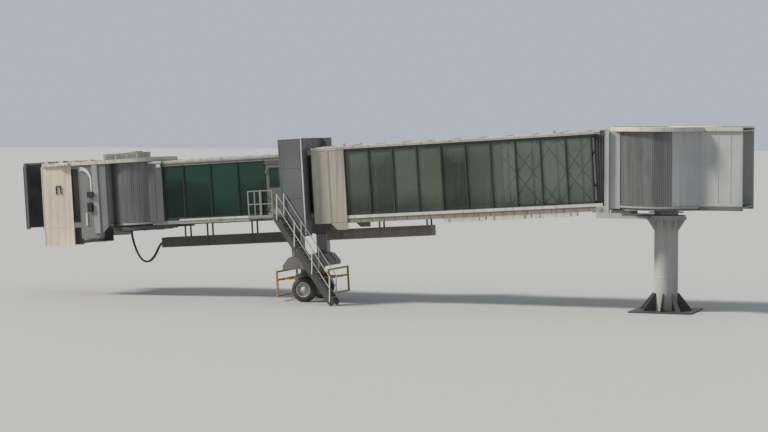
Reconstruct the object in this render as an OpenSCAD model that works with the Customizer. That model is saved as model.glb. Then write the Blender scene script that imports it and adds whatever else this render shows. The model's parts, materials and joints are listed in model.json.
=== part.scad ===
// Apron-drive passenger boarding bridge.
// +X runs to the terminal, -X out to the cab, +Z is up. The origin is where the
// swing axis of the rotunda meets the ground. Lengths are in millimetres.

/* [Rotunda] */
// Radius of the rotunda floor
rotunda_r = 1920; // [1900:5:1960]
// Clear height inside the rotunda
rotunda_h = 2800; // [2780:10:2900]
// Radius of the pedestal pipe
column_r = 450; // [380:10:450]
// Width of the square base plate
base_w = 2400; // [2300:50:2800]
// Distance between the anchor bolt holes
bolt_pitch = 2000; // [1900:50:2100]
// Radius of an anchor bolt hole
bolt_r = 28; // [16:1:40]
// Length of the fixed passage past the rotunda centre
stub_l = 3100; // [2600:100:4000]

/* [Tunnels] */
// Fall of the tunnels towards the cab at rest, degrees
rest_slope = 3.5; // [3:0.25:4]
// Height of the slope pivot pins above the ground
pivot_z = 3900; // [3850:10:3950]
// Front end of the outer tunnel, measured from the pivot
outer_l = 11620; // [11400:20:12000]
// Length of the panelled front frame of the outer tunnel
front_l = 1380; // [1200:20:1500]
// Number of glazed bays in the outer tunnel
outer_bays = 10; // [8:2:12]
// Clear height inside the outer tunnel
outer_clear_h = 2700; // [2650:10:2760]
// Gap between the lift portal and the outer tunnel at rest
portal_gap = 250; // [150:10:400]
// Width of the bay that holds the service door
door_bay = 800; // [760:10:900]
// Width of the other glazed bays of the inner tunnel
inner_bay = 1200; // [1000:20:1300]
// Width of the glazed bay next to the drum
head_bay = 950; // [800:10:1200]
// How far the inner tunnel reaches into the outer one at rest
overlap_l = 7220; // [7000:20:7400]

/* [Lift and bogie] */
// Length of a lift housing along the tunnel
housing_w = 1000; // [900:20:1100]
// Depth of a lift housing across the tunnel
housing_d = 600; // [560:20:640]
// Radius of a tyre
tyre_r = 500; // [480:5:520]
// Width of a tyre
tyre_w = 360; // [300:10:380]
// Distance from the steering axis to a wheel's middle plane
track_half = 950; // [940:10:960]

/* [Cab] */
// Distance from the end of the inner tunnel to the axis of the cab
head_l = 1400; // [1390:5:1440]
// Radius of the round cab deck
drum_r = 1320; // [1310:5:1325]
// Length of the cab from its axis to the front edge
cab_l = 4000; // [3800:50:4200]
// Width of the cab outside
cab_w = 2800; // [2760:20:2860]
// Depth of the folded canopy
canopy_d = 700; // [600:20:760]

/* [Stair] */
// Clear width of the service stair
stair_w = 600; // [560:20:640]
// Pitch of the service stair at rest, degrees
stair_pitch = 55; // [54:0.5:56]
// Number of treads
stair_treads = 13; // [12:1:14]

/* [Hidden] */

eps = 0.3;
run_clear = 0.5;
gate_x1 = rotunda_r + 10;
gate_x2 = gate_x1 + 150;
pivot_x = gate_x2 + 170;
pin_r = 60;
floor_z = pivot_z + 150;
rotunda_top = floor_z + rotunda_h;

// Levels in the tunnel frame, whose origin is the pivot pin
o_floor = 150;
o_ceil = o_floor + outer_clear_h;
o_in = 1120;
o_out = 1240;
o_glass = 1190;
i_under = o_floor + 60;
i_floor = i_under + 140;
i_top = o_ceil - 50;
i_ceil = i_top - 110;
i_in = 950;
i_out = 1040;
i_glass = 1000;
outer_rear = 120;
bearer_w = 80;
trough_w = 500;
trough_t = 25;
panel_end = outer_l - front_l;
outer_bearers = [for (k = [0:11]) outer_rear + 120 + k * (outer_l - outer_rear - 500) / 11];
lift_u = outer_l + portal_gap + housing_w / 2;
door_x1 = lift_u + housing_w / 2 + 80;
door_x2 = door_x1 + door_bay;
inner_l = door_x2 + 3 * inner_bay + head_bay;
inner_tail = outer_l - overlap_l;
inner_posts = [for (k = [0:3]) door_x2 + k * inner_bay];
drum_u = inner_l + head_l;

// Places that follow from the slope
wheel_z = (tyre_r - pivot_z + lift_u * sin(rest_slope)) / cos(rest_slope);
cab_bottom = i_under + 5;
cab_top = i_top + 30;
roof_top = cab_top + 150;
half = cab_w / 2;
cab_wall_t = 60;
cab_deck_t = 80;
recess_x = 2600;
recess_w = 330;
skirt_z = -450;
cross_x = 1000;
doorway_y1 = -960;
doorway_y2 = 280;
turn_ring_r = 1000;
turn_ring_t = 140;
stair_y = 1720;
stair_z = i_floor - 60;
stair_x = door_x1 - 100;
hinge_r = 12;
inner_bearers = concat([for (x = [inner_tail + 200:1200:lift_u - 600]) x],
    [for (k = [-1:4]) door_x2 + k * 1000]);

// Places in X and Z of a point of the tunnel frame
function place_x(x, z) = -pivot_x + x * cos(rest_slope) - z * sin(rest_slope);
function place_z(x, z) = pivot_z + x * sin(rest_slope) + z * cos(rest_slope);

module tunnel() {
    translate([-pivot_x, 0, pivot_z])
        rotate([0, -rest_slope, 0])
            children();
}

module cab() {
    tunnel()
        translate([-drum_u, 0, 0])
            children();
}

module lift() {
    tunnel()
        translate([-lift_u, 0, 0])
            children();
}

module span(x1, x2, y1, y2, z1, z2) {
    translate([min(x1, x2), min(y1, y2), min(z1, z2)])
        cube([abs(x2 - x1), abs(y2 - y1), abs(z2 - z1)]);
}

module both_sides() {
    children();
    mirror([0, 1, 0])
        children();
}

// A flat outline in X and Z, made solid between two Y values
module side_plate(points, y1, y2) {
    translate([0, max(y1, y2), 0])
        rotate([90, 0, 0])
            linear_extrude(abs(y2 - y1))
                polygon(points);
}

// Part of a round wall between two angles
module arc_wall(r1, r2, a1, a2, z1, z2) {
    translate([0, 0, z1])
        rotate([0, 0, a1])
            rotate_extrude(angle = a2 - a1, $fn = 96)
                translate([r1, 0])
                    square([r2 - r1, z2 - z1]);
}

// Fixed part

module pedestal_base() {
    color("dimgray")
        difference() {
            union() {
                span(-base_w / 2, base_w / 2, -base_w / 2, base_w / 2, 0, 50);
                for (a = [0:45:315])
                    rotate([0, 0, a])
                        side_plate([[column_r + eps, 40], [1000, 40], [1000, 90], [column_r + 60, 700],
                            [column_r + eps, 700]], -15, 15);
            }
            for (x = [-1, 1], y = [-1, 1])
                translate([x * bolt_pitch / 2, y * bolt_pitch / 2, -1])
                    cylinder(r = bolt_r, h = 60, $fn = 48);
        }
}

module pedestal_column() {
    color("gainsboro")
        difference() {
            union() {
                translate([0, 0, 50])
                    cylinder(r = column_r, h = floor_z - 200, $fn = 96);
                translate([0, 0, floor_z - 550])
                    cylinder(r = 760, h = 60, $fn = 96);
                for (a = [0:45:315])
                    rotate([0, 0, a])
                        side_plate([[column_r - 10, floor_z - 950], [column_r + 30, floor_z - 950],
                            [740, floor_z - 550], [column_r - 10, floor_z - 550]], -12, 12);
            }
            translate([0, 0, 49])
                cylinder(r = column_r - 20, h = floor_z, $fn = 96);
        }
}

module rotunda_floor() {
    color("slategray") {
        translate([0, 0, floor_z - 60])
            cylinder(r = rotunda_r, h = 60, $fn = 128);
        span(1400, stub_l, -1200, 1200, floor_z - 60, floor_z);
        difference() {
            translate([0, 0, floor_z - 150])
                cylinder(r = rotunda_r - 60, h = 91, $fn = 128);
            translate([0, 0, floor_z - 151])
                cylinder(r = rotunda_r - 140, h = 95, $fn = 128);
        }
        for (a = [0:30:150])
            rotate([0, 0, a])
                span(-rotunda_r + 100, rotunda_r - 100, -20, 20, floor_z - 150, floor_z - 59);
        both_sides()
            span(1500, stub_l, 1040, 1200, floor_z - 150, floor_z - 59);
    }
}

module rotunda_shell() {
    jamb_angle = asin(1180 / rotunda_r);
    jamb_x = (rotunda_r - 60) * cos(jamb_angle) - 67;
    far = 2 * rotunda_r;
    color("lightgray")
        both_sides()
            translate([0, 0, floor_z])
                linear_extrude(rotunda_h) {
                    intersection() {
                        difference() {
                            circle(r = rotunda_r - 30, $fn = 360);
                            circle(r = rotunda_r - 90, $fn = 360);
                        }
                        polygon([[0, 0], [far * cos(jamb_angle), far * sin(jamb_angle)],
                            [far * cos(76), far * sin(76)]]);
                    }
                    translate([jamb_x, 1100])
                        square([140, 120]);
                    translate([jamb_x + 70, 1140])
                        square([stub_l - jamb_x - 70, 60]);
                }
}

module rotunda_roof() {
    z1 = rotunda_top;
    z2 = rotunda_top + 150;
    color("whitesmoke") {
        translate([0, 0, z2 - 40])
            cylinder(r = rotunda_r + 180, h = 40, $fn = 128);
        translate([0, 0, z1])
            cylinder(r = rotunda_r, h = 40, $fn = 128);
        difference() {
            translate([0, 0, z1])
                cylinder(r = rotunda_r + 180, h = 120, $fn = 128);
            translate([0, 0, z1 - 1])
                cylinder(r = rotunda_r - 40, h = 120, $fn = 128);
            span(0, stub_l, -1120, 1120, z1 - 1, z1 + 112);
        }
        span(1500, stub_l, -1280, 1280, z2 - 40, z2);
        both_sides()
            span(1500, stub_l, 1120, 1280, z1, z2 - 39);
        span(1500, stub_l, -1121, 1121, z1, z1 + 40);
    }
}

module rotunda_curtains() {
    color("gray")
        both_sides()
            arc_wall(rotunda_r - 25, rotunda_r - 10, 72, 180 - asin(1160 / rotunda_r), floor_z,
                rotunda_top - eps);
}

// Part that turns about the rotunda

module swing_frame() {
    z0 = floor_z - 490;
    cheek_x = 1400;
    color("silver")
        difference() {
            union() {
                translate([0, 0, z0 + eps])
                    cylinder(r = 740, h = 200, $fn = 96);
                span(-1000, -560, -1310, 1310, z0 + eps, z0 + 200);
                both_sides() {
                    span(-pivot_x - 150, -600, 1000, 1310, z0 + eps, z0 + 200);
                    span(-pivot_x - 150, -gate_x2, 1250, 1310, z0 + 100, floor_z - 30);
                    span(-gate_x2, -gate_x1, 1100, 1300, z0 + 100, rotunda_top - 10);
                    span(-gate_x1 - 10, -cheek_x, 1130, 1190, floor_z - 130, rotunda_top - 10);
                    translate([-pivot_x, 1260, pivot_z])
                        rotate([90, 0, 0])
                            cylinder(r = pin_r, h = 120, $fn = 48);
                }
                span(-pivot_x + 10, -cheek_x, -1110, 1110, floor_z - 130, floor_z);
                span(-gate_x2, -cheek_x, -1140, 1140, floor_z - 130, floor_z);
                span(-pivot_x - 270, -gate_x2 + 20, -1040, 1040, floor_z + 8, floor_z + 18);
                span(-pivot_x + 10, -gate_x2 + 20, -1040, 1040, floor_z - 20, floor_z + 18);
                span(-gate_x2, -gate_x1, -1300, 1300, rotunda_top - 150, rotunda_top - 10);
                span(-gate_x1 - 10, -cheek_x, -1190, 1190, rotunda_top - 50, rotunda_top - 10);
            }
            translate([0, 0, floor_z - 400])
                cylinder(r = rotunda_r + 10, h = rotunda_h + 800, $fn = 128);
            translate([0, 0, z0 - 1])
                cylinder(r = column_r + 5, h = 300, $fn = 96);
            translate([0, 0, z0 + 200])
                cylinder(r = rotunda_r + 10, h = 400, $fn = 128);
        }
}

module rotunda_bellows() {
    color("dimgray")
        difference() {
            side_plate([[place_x(1 - outer_rear, o_floor + 22), floor_z + 22], [-gate_x2, floor_z + 22],
                [-gate_x2, rotunda_top - 20],
                [place_x(1 - outer_rear, o_ceil - 12), place_z(1 - outer_rear, o_ceil - 12)]],
                -1200, 1200);
            side_plate([[-2900, floor_z - 600], [-gate_x1, floor_z - 600], [-gate_x1, rotunda_top - 80],
                [place_x(-outer_rear, o_ceil), place_z(-outer_rear, o_ceil - 70)],
                [-2900, rotunda_top - 190]], -1140, 1140);
        }
}

// Outer tunnel

module outer_floor() {
    color("tan")
        tunnel()
            difference() {
                union() {
                    span(-outer_l, -outer_rear, -o_in, o_in, o_floor - 40, o_floor);
                    for (x = outer_bearers)
                        span(-x - bearer_w, -x, -o_in, o_in, o_floor - 170, o_floor - 40);
                    both_sides() {
                        span(-outer_l, -outer_rear, o_in - 1, o_out, o_floor - 210, o_floor);
                        span(-320, 110, 1160, o_out, -120, o_floor);
                    }
                }
                translate([0, 1400, 0])
                    rotate([90, 0, 0])
                        cylinder(r = pin_r + run_clear, h = 2800, $fn = 48);
            }
}

module outer_roof() {
    color("whitesmoke")
        tunnel()
            translate([-outer_l - 20, 0, 0])
                rotate([90, 0, 90])
                    linear_extrude(outer_l - 60)
                        polygon([[-1300, o_ceil], [-1180, o_ceil], [-1180, o_ceil + 60],
                            [0, o_ceil + 95], [1180, o_ceil + 60], [1180, o_ceil], [1300, o_ceil],
                            [1300, o_ceil + 100], [0, o_ceil + 140], [-1300, o_ceil + 100]]);
}

module outer_side() {
    span(-outer_l, -outer_rear, o_in, o_out, o_floor, o_floor + 100);
    span(-outer_l, -outer_rear, o_in, o_out, o_ceil - 100, o_ceil);
    for (k = [0:outer_bays]) {
        x = panel_end - k * (panel_end - 240) / outer_bays;
        span(-x - 30, -x + 30, o_in, o_glass, o_floor + 90, o_ceil - 90);
        span(-x - 25, -x + 25, o_glass + 10, o_out, o_floor + 90, o_ceil - 90);
    }
    for (x = [outer_l - 60, outer_l - 690])
        span(-x - 60, -x + 60, o_in, o_out, o_floor + 90, o_ceil - 90);
    for (k = [0:2:outer_bays - 2]) {
        bay = (panel_end - 240) / outer_bays;
        x1 = -panel_end + k * bay;
        x2 = x1 + 2 * bay;
        side_plate([[x1, o_floor + 90], [x1 + 70, o_floor + 90], [x2, o_ceil - 90],
            [x2 - 70, o_ceil - 90]], o_in + 15, o_in + 45);
        side_plate([[x2, o_floor + 90], [x2 - 70, o_floor + 90], [x1, o_ceil - 90],
            [x1 + 70, o_ceil - 90]], o_in + 15, o_in + 45);
    }
}

module outer_frame_left() {
    color("lightgray")
        tunnel()
            outer_side();
}

module outer_frame_right() {
    color("lightgray")
        tunnel()
            mirror([0, 1, 0])
                outer_side();
}

module outer_glass() {
    color("darkseagreen", 0.5)
        tunnel()
            both_sides()
                span(-panel_end + 25, -245, o_glass, o_glass + 10, o_floor + 100, o_ceil - 100);
}

module outer_portal() {
    a = -outer_l;
    b = -outer_l + 690;
    c = -panel_end;
    color("antiquewhite")
        tunnel() {
            both_sides() {
                side_plate([[a, o_floor - 210], [b - 8, o_floor - 210], [b - 8, o_ceil], [a, o_ceil]],
                    o_out, o_out + 50);
                side_plate([[b, o_floor - 210], [b + 280, o_floor - 480], [c, o_floor - 480],
                    [c, o_ceil], [b, o_ceil]], o_out, o_out + 50);
                span(a + 40, a + 280, i_out - 70, i_out, o_floor, i_under - eps);
            }
        }
}

// An open tray for cables, hung on straps from the bearers of a floor
module under_trough(x1, x2, bearers, top) {
    w = trough_w / 2;
    z1 = -750;
    z2 = z1 + 400;
    difference() {
        span(x1, x2, -w, w, z1, z2);
        span(x1 + 20, x2 - 20, -w + trough_t, w - trough_t, z1 + trough_t, z2 + 1);
    }
    for (x = bearers)
        both_sides()
            span(-x - 70, -x - 10, w, w + trough_t, z1, top);
}

module outer_trough() {
    color("gray")
        tunnel()
            under_trough(-outer_l + 60, -outer_bearers[7] + 120,
                [for (k = [7, 9, 11]) outer_bearers[k]], o_floor - 170);
}

// Inner tunnel

module inner_floor() {
    color("slategray")
        tunnel()
            difference() {
                union() {
                    span(-drum_u + 700, -inner_tail, -i_in, i_in, i_floor - 40, i_floor);
                    for (x = inner_bearers)
                        span(-x - bearer_w, -x, -i_in, i_in, i_under + 20, i_floor - 40);
                    both_sides() {
                        span(-drum_u + 700, -inner_tail, i_in - 1, i_out, i_under, i_floor);
                        for (x = [inner_tail + 200, inner_tail + 500])
                            translate([-x, i_out - 10, o_floor + 28 + eps])
                                rotate([90, 0, 0])
                                    cylinder(r = 28, h = 60, $fn = 32);
                        for (x = [inner_tail + 200, inner_tail + 500])
                            span(-x - 15, -x + 15, i_out - 70, i_out - 10, o_floor + 28, i_under + 1);
                    }
                    side_plate([[-inner_tail, i_floor - 45], [-inner_tail, i_floor],
                        [-inner_tail + 1700, o_floor + 20], [-inner_tail + 1700, o_floor + 8]],
                        -i_in + 30, i_in - 30);
                }
                translate([-drum_u, 0, 0])
                    cylinder(r = drum_r + 12, h = 800, $fn = 128);
            }
}

module inner_roof() {
    color("whitesmoke")
        tunnel()
            difference() {
                span(-inner_l, -inner_tail, -i_out, i_out, i_ceil, i_top);
                span(-inner_l - 1, -inner_tail + 1, -i_in - 20, i_in + 20, i_ceil - 1, i_top - 40);
            }
}

module inner_side(door) {
    if (door) {
        span(-inner_l, -door_x2 + 25, i_in, i_out, i_floor, i_floor + 100);
        span(-door_x1 - 25, -inner_tail, i_in, i_out, i_floor, i_floor + 100);
        span(-door_x2, -door_x1, i_in, i_out, i_ceil - 280, i_ceil);
    } else {
        span(-inner_l, -inner_tail, i_in, i_out, i_floor, i_floor + 100);
    }
    span(-inner_l, -inner_tail, i_in, i_out, i_ceil - 110, i_ceil);
    for (x = [door_x1, door_x2])
        span(-x - 25, -x + 25, i_in, i_out, i_floor, i_ceil - 100);
    for (x = concat([for (k = [1:3]) inner_posts[k]], [inner_l - 30],
            [for (x = [door_x1 - inner_bay:-inner_bay:inner_tail + 300]) x], [inner_tail + 30])) {
        span(-x - 30, -x + 30, i_in, i_glass, i_floor + 90, i_ceil - 100);
        span(-x - 25, -x + 25, i_glass + 8, i_out, i_floor + 90, i_ceil - 100);
    }
}

module inner_frame_left() {
    color("gainsboro")
        tunnel()
            inner_side(false);
}

module inner_frame_right() {
    color("gainsboro")
        tunnel()
            mirror([0, 1, 0])
                inner_side(true);
}

module inner_glass() {
    z1 = i_floor + 100;
    z2 = i_ceil - 110;
    color("darkslategray", 0.5)
        tunnel() {
            both_sides() {
                span(-inner_l, -door_x2 - 25, i_glass, i_glass + 8, z1, z2);
                span(-door_x1 + 25, -inner_tail, i_glass, i_glass + 8, z1, z2);
            }
            span(-door_x2 + 25, -door_x1 - 25, i_glass, i_glass + 8, z1, z2);
        }
}

module inner_trough() {
    color("dimgray")
        tunnel()
            under_trough(-drum_u + 800, -lift_u - 700,
                [for (k = [1, 3, 4]) door_x2 + k * 1000], i_under + 20);
}

module head_frame() {
    color("lightgray")
        tunnel()
            difference() {
                union() {
                    both_sides()
                        span(-drum_u + 700, -inner_l, i_in, i_out + 60, i_floor, i_top + 20);
                    span(-drum_u + 700, -inner_l, -i_in, i_in, i_ceil, i_top + 20);
                }
                translate([-drum_u, 0, 0])
                    cylinder(r = drum_r + 12, h = 4000, $fn = 128);
            }
}

module drum_base() {
    color("dimgray")
        cab() {
            translate([0, 0, i_under - 150])
                cylinder(r = drum_r - 70, h = 140, $fn = 128);
            translate([0, 0, i_under - 11])
                difference() {
                    cylinder(r = turn_ring_r, h = 16 - eps, $fn = 96);
                    translate([0, 0, -1])
                        cylinder(r = turn_ring_r - turn_ring_t, h = 20, $fn = 96);
                }
            both_sides()
                span(600, drum_u - inner_l + 400, 700, 900, i_under - 150, i_under);
        }
}

// Lift, landing and stair

module lift_portal() {
    h = housing_w / 2;
    color("lightgray")
        lift() {
            both_sides()
                difference() {
                    span(-h, h, i_out, i_out + housing_d, -500, i_top + 570);
                    span(-h + 20, h - 20, i_out + 20, i_out + housing_d - 20, -440, i_top + 540);
                    span(-220 - run_clear, 220 + run_clear, i_out + housing_d / 2 - 180 - run_clear,
                        i_out + housing_d / 2 + 180 + run_clear, -510, 0);
                }
            difference() {
                span(-300, 300, -i_out - 1, i_out + 1, i_top + 90, i_top + 570);
                span(-280, 280, -i_out - 2, i_out + 2, i_top + 110, i_top + 550);
            }
        }
}

module service_landing() {
    color("darkgray")
        tunnel() {
            span(-door_x2 - 250, -door_x1 + 40, -i_out, -2400, i_floor - 60, i_floor - 20);
            for (x = [-door_x2 - 230, -door_x1 - 32])
                span(x, x + 50, -i_out, -2380, i_floor - 140, i_floor - 60);
            for (y = [-stair_y - 40 - run_clear, -stair_y - stair_w - 20 + run_clear])
                span(-door_x1 + 30, -stair_x + 25, y, y - 20, stair_z - 30, stair_z + 30);
            for (y = [-stair_y - 4, -stair_y - stair_w - 20])
                translate([-stair_x, y, stair_z])
                    rotate([90, 0, 0])
                        cylinder(r = 18, h = 57, $fn = 32);
        }
}

module rail_post(x, y, z1, z2) {
    span(x - 20, x + 20, y - 20, y + 20, z1, z2);
}

module landing_rails() {
    x1 = -door_x2 - 220;
    x2 = -door_x1 + 10;
    z1 = i_floor - 20;
    z2 = z1 + 1080;
    color("white")
        tunnel() {
            for (y = [-1090, -1740, -2370])
                rail_post(x1, y, z1, z2);
            for (x = [x1 + 500, x2 - 10])
                rail_post(x, -2370, z1, z2);
            for (z = [z1 + 520, z2 - 40]) {
                span(x1 - 20, x1 + 20, -1070, -2390, z, z + 40);
                span(x1 - 20, x2 + 10, -2350, -2390, z, z + 40);
            }
            span(x1 - 20, x1 + 20, -1070, -2390, z1, z1 + 100);
            span(x1 - 20, x2 + 10, -2350, -2390, z1, z1 + 100);
        }
}

// A hinge barrel and its strap, with the barrel on the Z axis and the strap along +X
module hinge_barrel(z, reach) {
    translate([0, 0, z])
        cylinder(r = hinge_r, h = 140, $fn = 32);
    span(0, reach, -hinge_r, hinge_r - 4, z, z + 140);
}

module service_door() {
    axis_x = -door_x2 + 12;
    axis_y = -i_out - hinge_r - eps;
    color("darkseagreen")
        tunnel() {
            difference() {
                span(-door_x2 + 32, -door_x1 - 32, -i_out + 5, -i_out + 45, i_floor + 10,
                    i_ceil - 290);
                span(-door_x2 + 200, -door_x1 - 200, -i_out, -i_out + 60, i_floor + 1150,
                    i_ceil - 420);
            }
            translate([axis_x, axis_y, 0])
                for (z = [i_floor + 200, i_floor + 1700]) {
                    hinge_barrel(z, 70);
                    span(24, 70, -4, 30, z, z + 140);
                }
        }
}

module stair() {
    tunnel()
        translate([-stair_x, 0, stair_z])
            rotate([0, rest_slope, 0])
                children();
}

stair_h = place_z(-stair_x, stair_z);
stair_l = stair_h / tan(stair_pitch);
stair_fall = (stair_l - 120) * tan(stair_pitch);

module service_stair() {
    y1 = -stair_y;
    y2 = -stair_y - stair_w - 80;
    n = stair_treads + 1;
    color("dimgray")
        stair() {
            difference() {
                for (y = [y1, y2 + 40])
                    side_plate([[-40, 60], [90, 60], [stair_l + 60, -stair_h + 160],
                        [stair_l + 60, -stair_h + 70], [stair_l - 150, -stair_h + 70],
                        [-40, -130]], y, y - 40);
                translate([0, y1 + 1, 0])
                    rotate([90, 0, 0])
                        cylinder(r = 18 + run_clear, h = stair_w + 82, $fn = 32);
            }
            for (k = [1:stair_treads])
                translate([k * stair_l / n - 120, y2 + 39, -k * stair_h / n + 50])
                    cube([240, stair_w + 2, 30]);
            for (y = [y1 - 45, y2 + 45 + 50])
                translate([stair_l - 40, y, -stair_h + 100])
                    rotate([90, 0, 0])
                        cylinder(r = 100, h = 50, $fn = 48);
            translate([stair_l - 40, y1 - 1, -stair_h + 100])
                rotate([90, 0, 0])
                    cylinder(r = 20, h = stair_w + 78, $fn = 24);
        }
}

module stair_handrails() {
    color("white")
        stair()
            for (y = [-stair_y + 20, -stair_y - stair_w - 100]) {
                for (z = [520, 970])
                    side_plate([[60, z - 40], [60, z], [stair_l - 60, z - stair_fall],
                        [stair_l - 60, z - 40 - stair_fall]], y - 20, y + 20);
                for (k = [0:3]) {
                    x = 60 + k * (stair_l - 160) / 3;
                    drop = (x - 60) * stair_fall / (stair_l - 120);
                    span(x, x + 40, y - 20, y + 20, -60 - drop, 940 - drop);
                }
            }
}

module lift_columns() {
    y = i_out + housing_d / 2;
    color("silver")
        lift()
            both_sides()
                difference() {
                    span(-220, 220, y - 180, y + 180, -1340, 1700);
                    span(-195, 195, y - 155, y + 155, -1341, 1701);
                }
}

module carriage() {
    color("gray")
        lift() {
            difference() {
                side_plate([[-350, -1340], [350, -1340], [600, -1640], [600, -1800], [-600, -1800],
                    [-600, -1640]], -1640, 1640);
                side_plate([[-335, -1370], [335, -1370], [570, -1650], [570, -1770],
                    [-570, -1770], [-570, -1650]], -1650, 1650);
            }
            for (y = [-1640, -900, 880, 1620])
                side_plate([[-350, -1350], [350, -1350], [590, -1645], [590, -1790],
                    [-590, -1790], [-590, -1645]], y, y + 20);
            translate([0, 0, -1960])
                cylinder(r = 480, h = 161, $fn = 96);
        }
}

module bogie_frame() {
    color("dimgray")
        lift() {
            translate([0, 0, -2061])
                cylinder(r = 470, h = 101 - eps, $fn = 96);
            span(-420, 420, -600, 600, -2400, -2060);
            both_sides()
                span(-170, 170, 520, 600, wheel_z - 170, -2390);
            for (y = [-1, 1])
                translate([0, y * 590, wheel_z])
                    rotate([-90 * y, 0, 0])
                        cylinder(r = 75, h = track_half + 100 - 590, $fn = 48);
            for (s = [-1, 1])
                translate([s * 420, 0, -2240])
                    rotate([0, s * 90, 0])
                        cylinder(r = 110, h = 300, $fn = 48);
        }
}

module bogie_guard() {
    z1 = wheel_z - 250;
    z2 = -1870;
    color("gold")
        lift()
            for (s = [-1, 1]) {
                for (y = [-1050, 1050])
                    span(s * 1120 - 30, s * 1120 + 30, y - 30, y + 30, z1, z2);
                for (z = [z1, -2260, z2 - 60])
                    span(s * 1120 - 30, s * 1120 + 30, -1080, 1080, z, z + 60);
                for (y = [-450, 450])
                    span(s * 420, s * 1120, y - 30, y + 30, -2260, -2200);
            }
}

module tyre() {
    w = tyre_w / 2;
    rotate([90, 0, 0])
        rotate_extrude($fn = 96)
            polygon([[300 + eps, -w + 40], [330, -w + 10], [400, -w], [450, -w + 12],
                [485, -w + 40], [tyre_r, -w + 75], [tyre_r, w - 75], [485, w - 40],
                [450, w - 12], [400, w], [330, w - 10], [300 + eps, w - 40]]);
}

module rim() {
    w = tyre_w / 2;
    rotate([90, 0, 0])
        rotate_extrude($fn = 96)
            polygon([[75.1, -80], [140, -80], [160, -20], [270, -40], [280, -w + 30],
                [300, -w + 30], [300, w - 30], [280, w - 30], [270, 0], [160, 20], [140, 80],
                [75.1, 80]]);
}

module wheel_at(side) {
    lift()
        translate([0, side * track_half, wheel_z])
            children();
}

module tyre_left() {
    color("black")
        wheel_at(1)
            tyre();
}

module tyre_right() {
    color("black")
        wheel_at(-1)
            tyre();
}

module rim_left() {
    color("white")
        wheel_at(1)
            rim();
}

module rim_right() {
    color("white")
        wheel_at(-1)
            rim();
}

// Cab

module cab_floor() {
    color("slategray")
        cab() {
            translate([0, 0, i_floor - cab_deck_t])
                cylinder(r = drum_r, h = cab_deck_t, $fn = 128);
            span(-cab_l, -850, -half + cab_wall_t, half - cab_wall_t, i_floor - cab_deck_t, i_floor);
            span(-900, 0, -900, 900, i_floor - cab_deck_t, i_floor);
            translate([0, 0, cab_bottom])
                difference() {
                    cylinder(r = turn_ring_r, h = 60, $fn = 96);
                    translate([0, 0, -1])
                        cylinder(r = turn_ring_r - turn_ring_t, h = 70, $fn = 96);
                }
            both_sides()
                span(-cab_l + 60, -900, 900, 1060, cab_bottom - 55, i_floor - 79);
            span(-cab_l + 60, -cab_l + 200, -1060, 1060, cab_bottom - 55, i_floor - 79);
            for (x = [-cab_l + 60, -recess_x - 140])
                span(x, x + 100, -half + cab_wall_t, half - cab_wall_t, skirt_z + 40, skirt_z + 140);
        }
}

module cab_roof() {
    corner = 220;
    edge = half + 60;
    color("whitesmoke")
        cab() {
            difference() {
                union() {
                    translate([0, 0, cab_top])
                        cylinder(r = drum_r + 130, h = 150, $fn = 128);
                    span(-cab_l + corner, -900, -edge, edge, cab_top, roof_top);
                    span(-cab_l, -900, -edge + corner, edge - corner, cab_top, roof_top);
                    span(-900, 0, -drum_r - 130, drum_r + 130, cab_top, roof_top);
                    for (y = [-edge + corner, edge - corner])
                        translate([-cab_l + corner, y, cab_top])
                            cylinder(r = corner, h = 150, $fn = 64);
                }
                translate([0, 0, cab_top - 1])
                    cylinder(r = drum_r - 60, h = 111, $fn = 128);
                span(-cab_l + 60, -cross_x - 80, -half + 60, half - 60, cab_top - 1, cab_top + 110);
            }
            span(-cross_x - 80, -cross_x + 20, -half, half, cab_top, cab_top + 111);
            both_sides()
                for (x = [-cab_l + 100, -cab_l + 800])
                    difference() {
                        span(x, x + 200, 1140, 1280, roof_top - 1, roof_top + 90);
                        span(x - 1, x + 201, 1180 - run_clear, 1240 + run_clear,
                            roof_top + 5 - run_clear, roof_top + 65 + run_clear);
                    }
        }
}

// A side wall of the cab, which also covers the floor's edge and the frame below it
module cab_side() {
    low = i_floor - cab_deck_t;
    side_plate([[-cab_l, skirt_z], [-recess_x, skirt_z], [-recess_x, low], [-recess_x + recess_w, low],
        [-recess_x + recess_w, skirt_z + 250], [-cross_x - 500, skirt_z + 250], [-cross_x, low],
        [-cross_x, cab_top], [-cab_l, cab_top]], half - cab_wall_t, half);
}

module cab_wall_left() {
    color("lightgray")
        cab()
            difference() {
                cab_side();
                span(-cab_l + 300, -cab_l + 1500, half - cab_wall_t - 10, half + 10,
                    i_floor + 1000, i_floor + 2000);
            }
}

module cab_wall_right() {
    color("antiquewhite")
        cab()
            mirror([0, 1, 0])
                difference() {
                    cab_side();
                    span(-recess_x, -recess_x + recess_w, half - cab_wall_t - 10, half + 10,
                        i_floor + 150, cab_top - 150);
                }
}

module cab_bulkhead() {
    color("lightgray")
        cab()
            difference() {
                span(-cross_x - cab_wall_t, -cross_x, -half + cab_wall_t, half - cab_wall_t,
                    i_floor, cab_top);
                span(-cross_x - cab_wall_t - 10, -cross_x + 10, doorway_y1, doorway_y2, i_floor - 1,
                    i_floor + 2160);
            }
}

module cab_curtains() {
    color("gray")
        cab()
            both_sides()
                arc_wall(drum_r - 25, drum_r - 10, 53, 180 - asin(855 / drum_r), i_floor, cab_top - eps);
}

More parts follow.
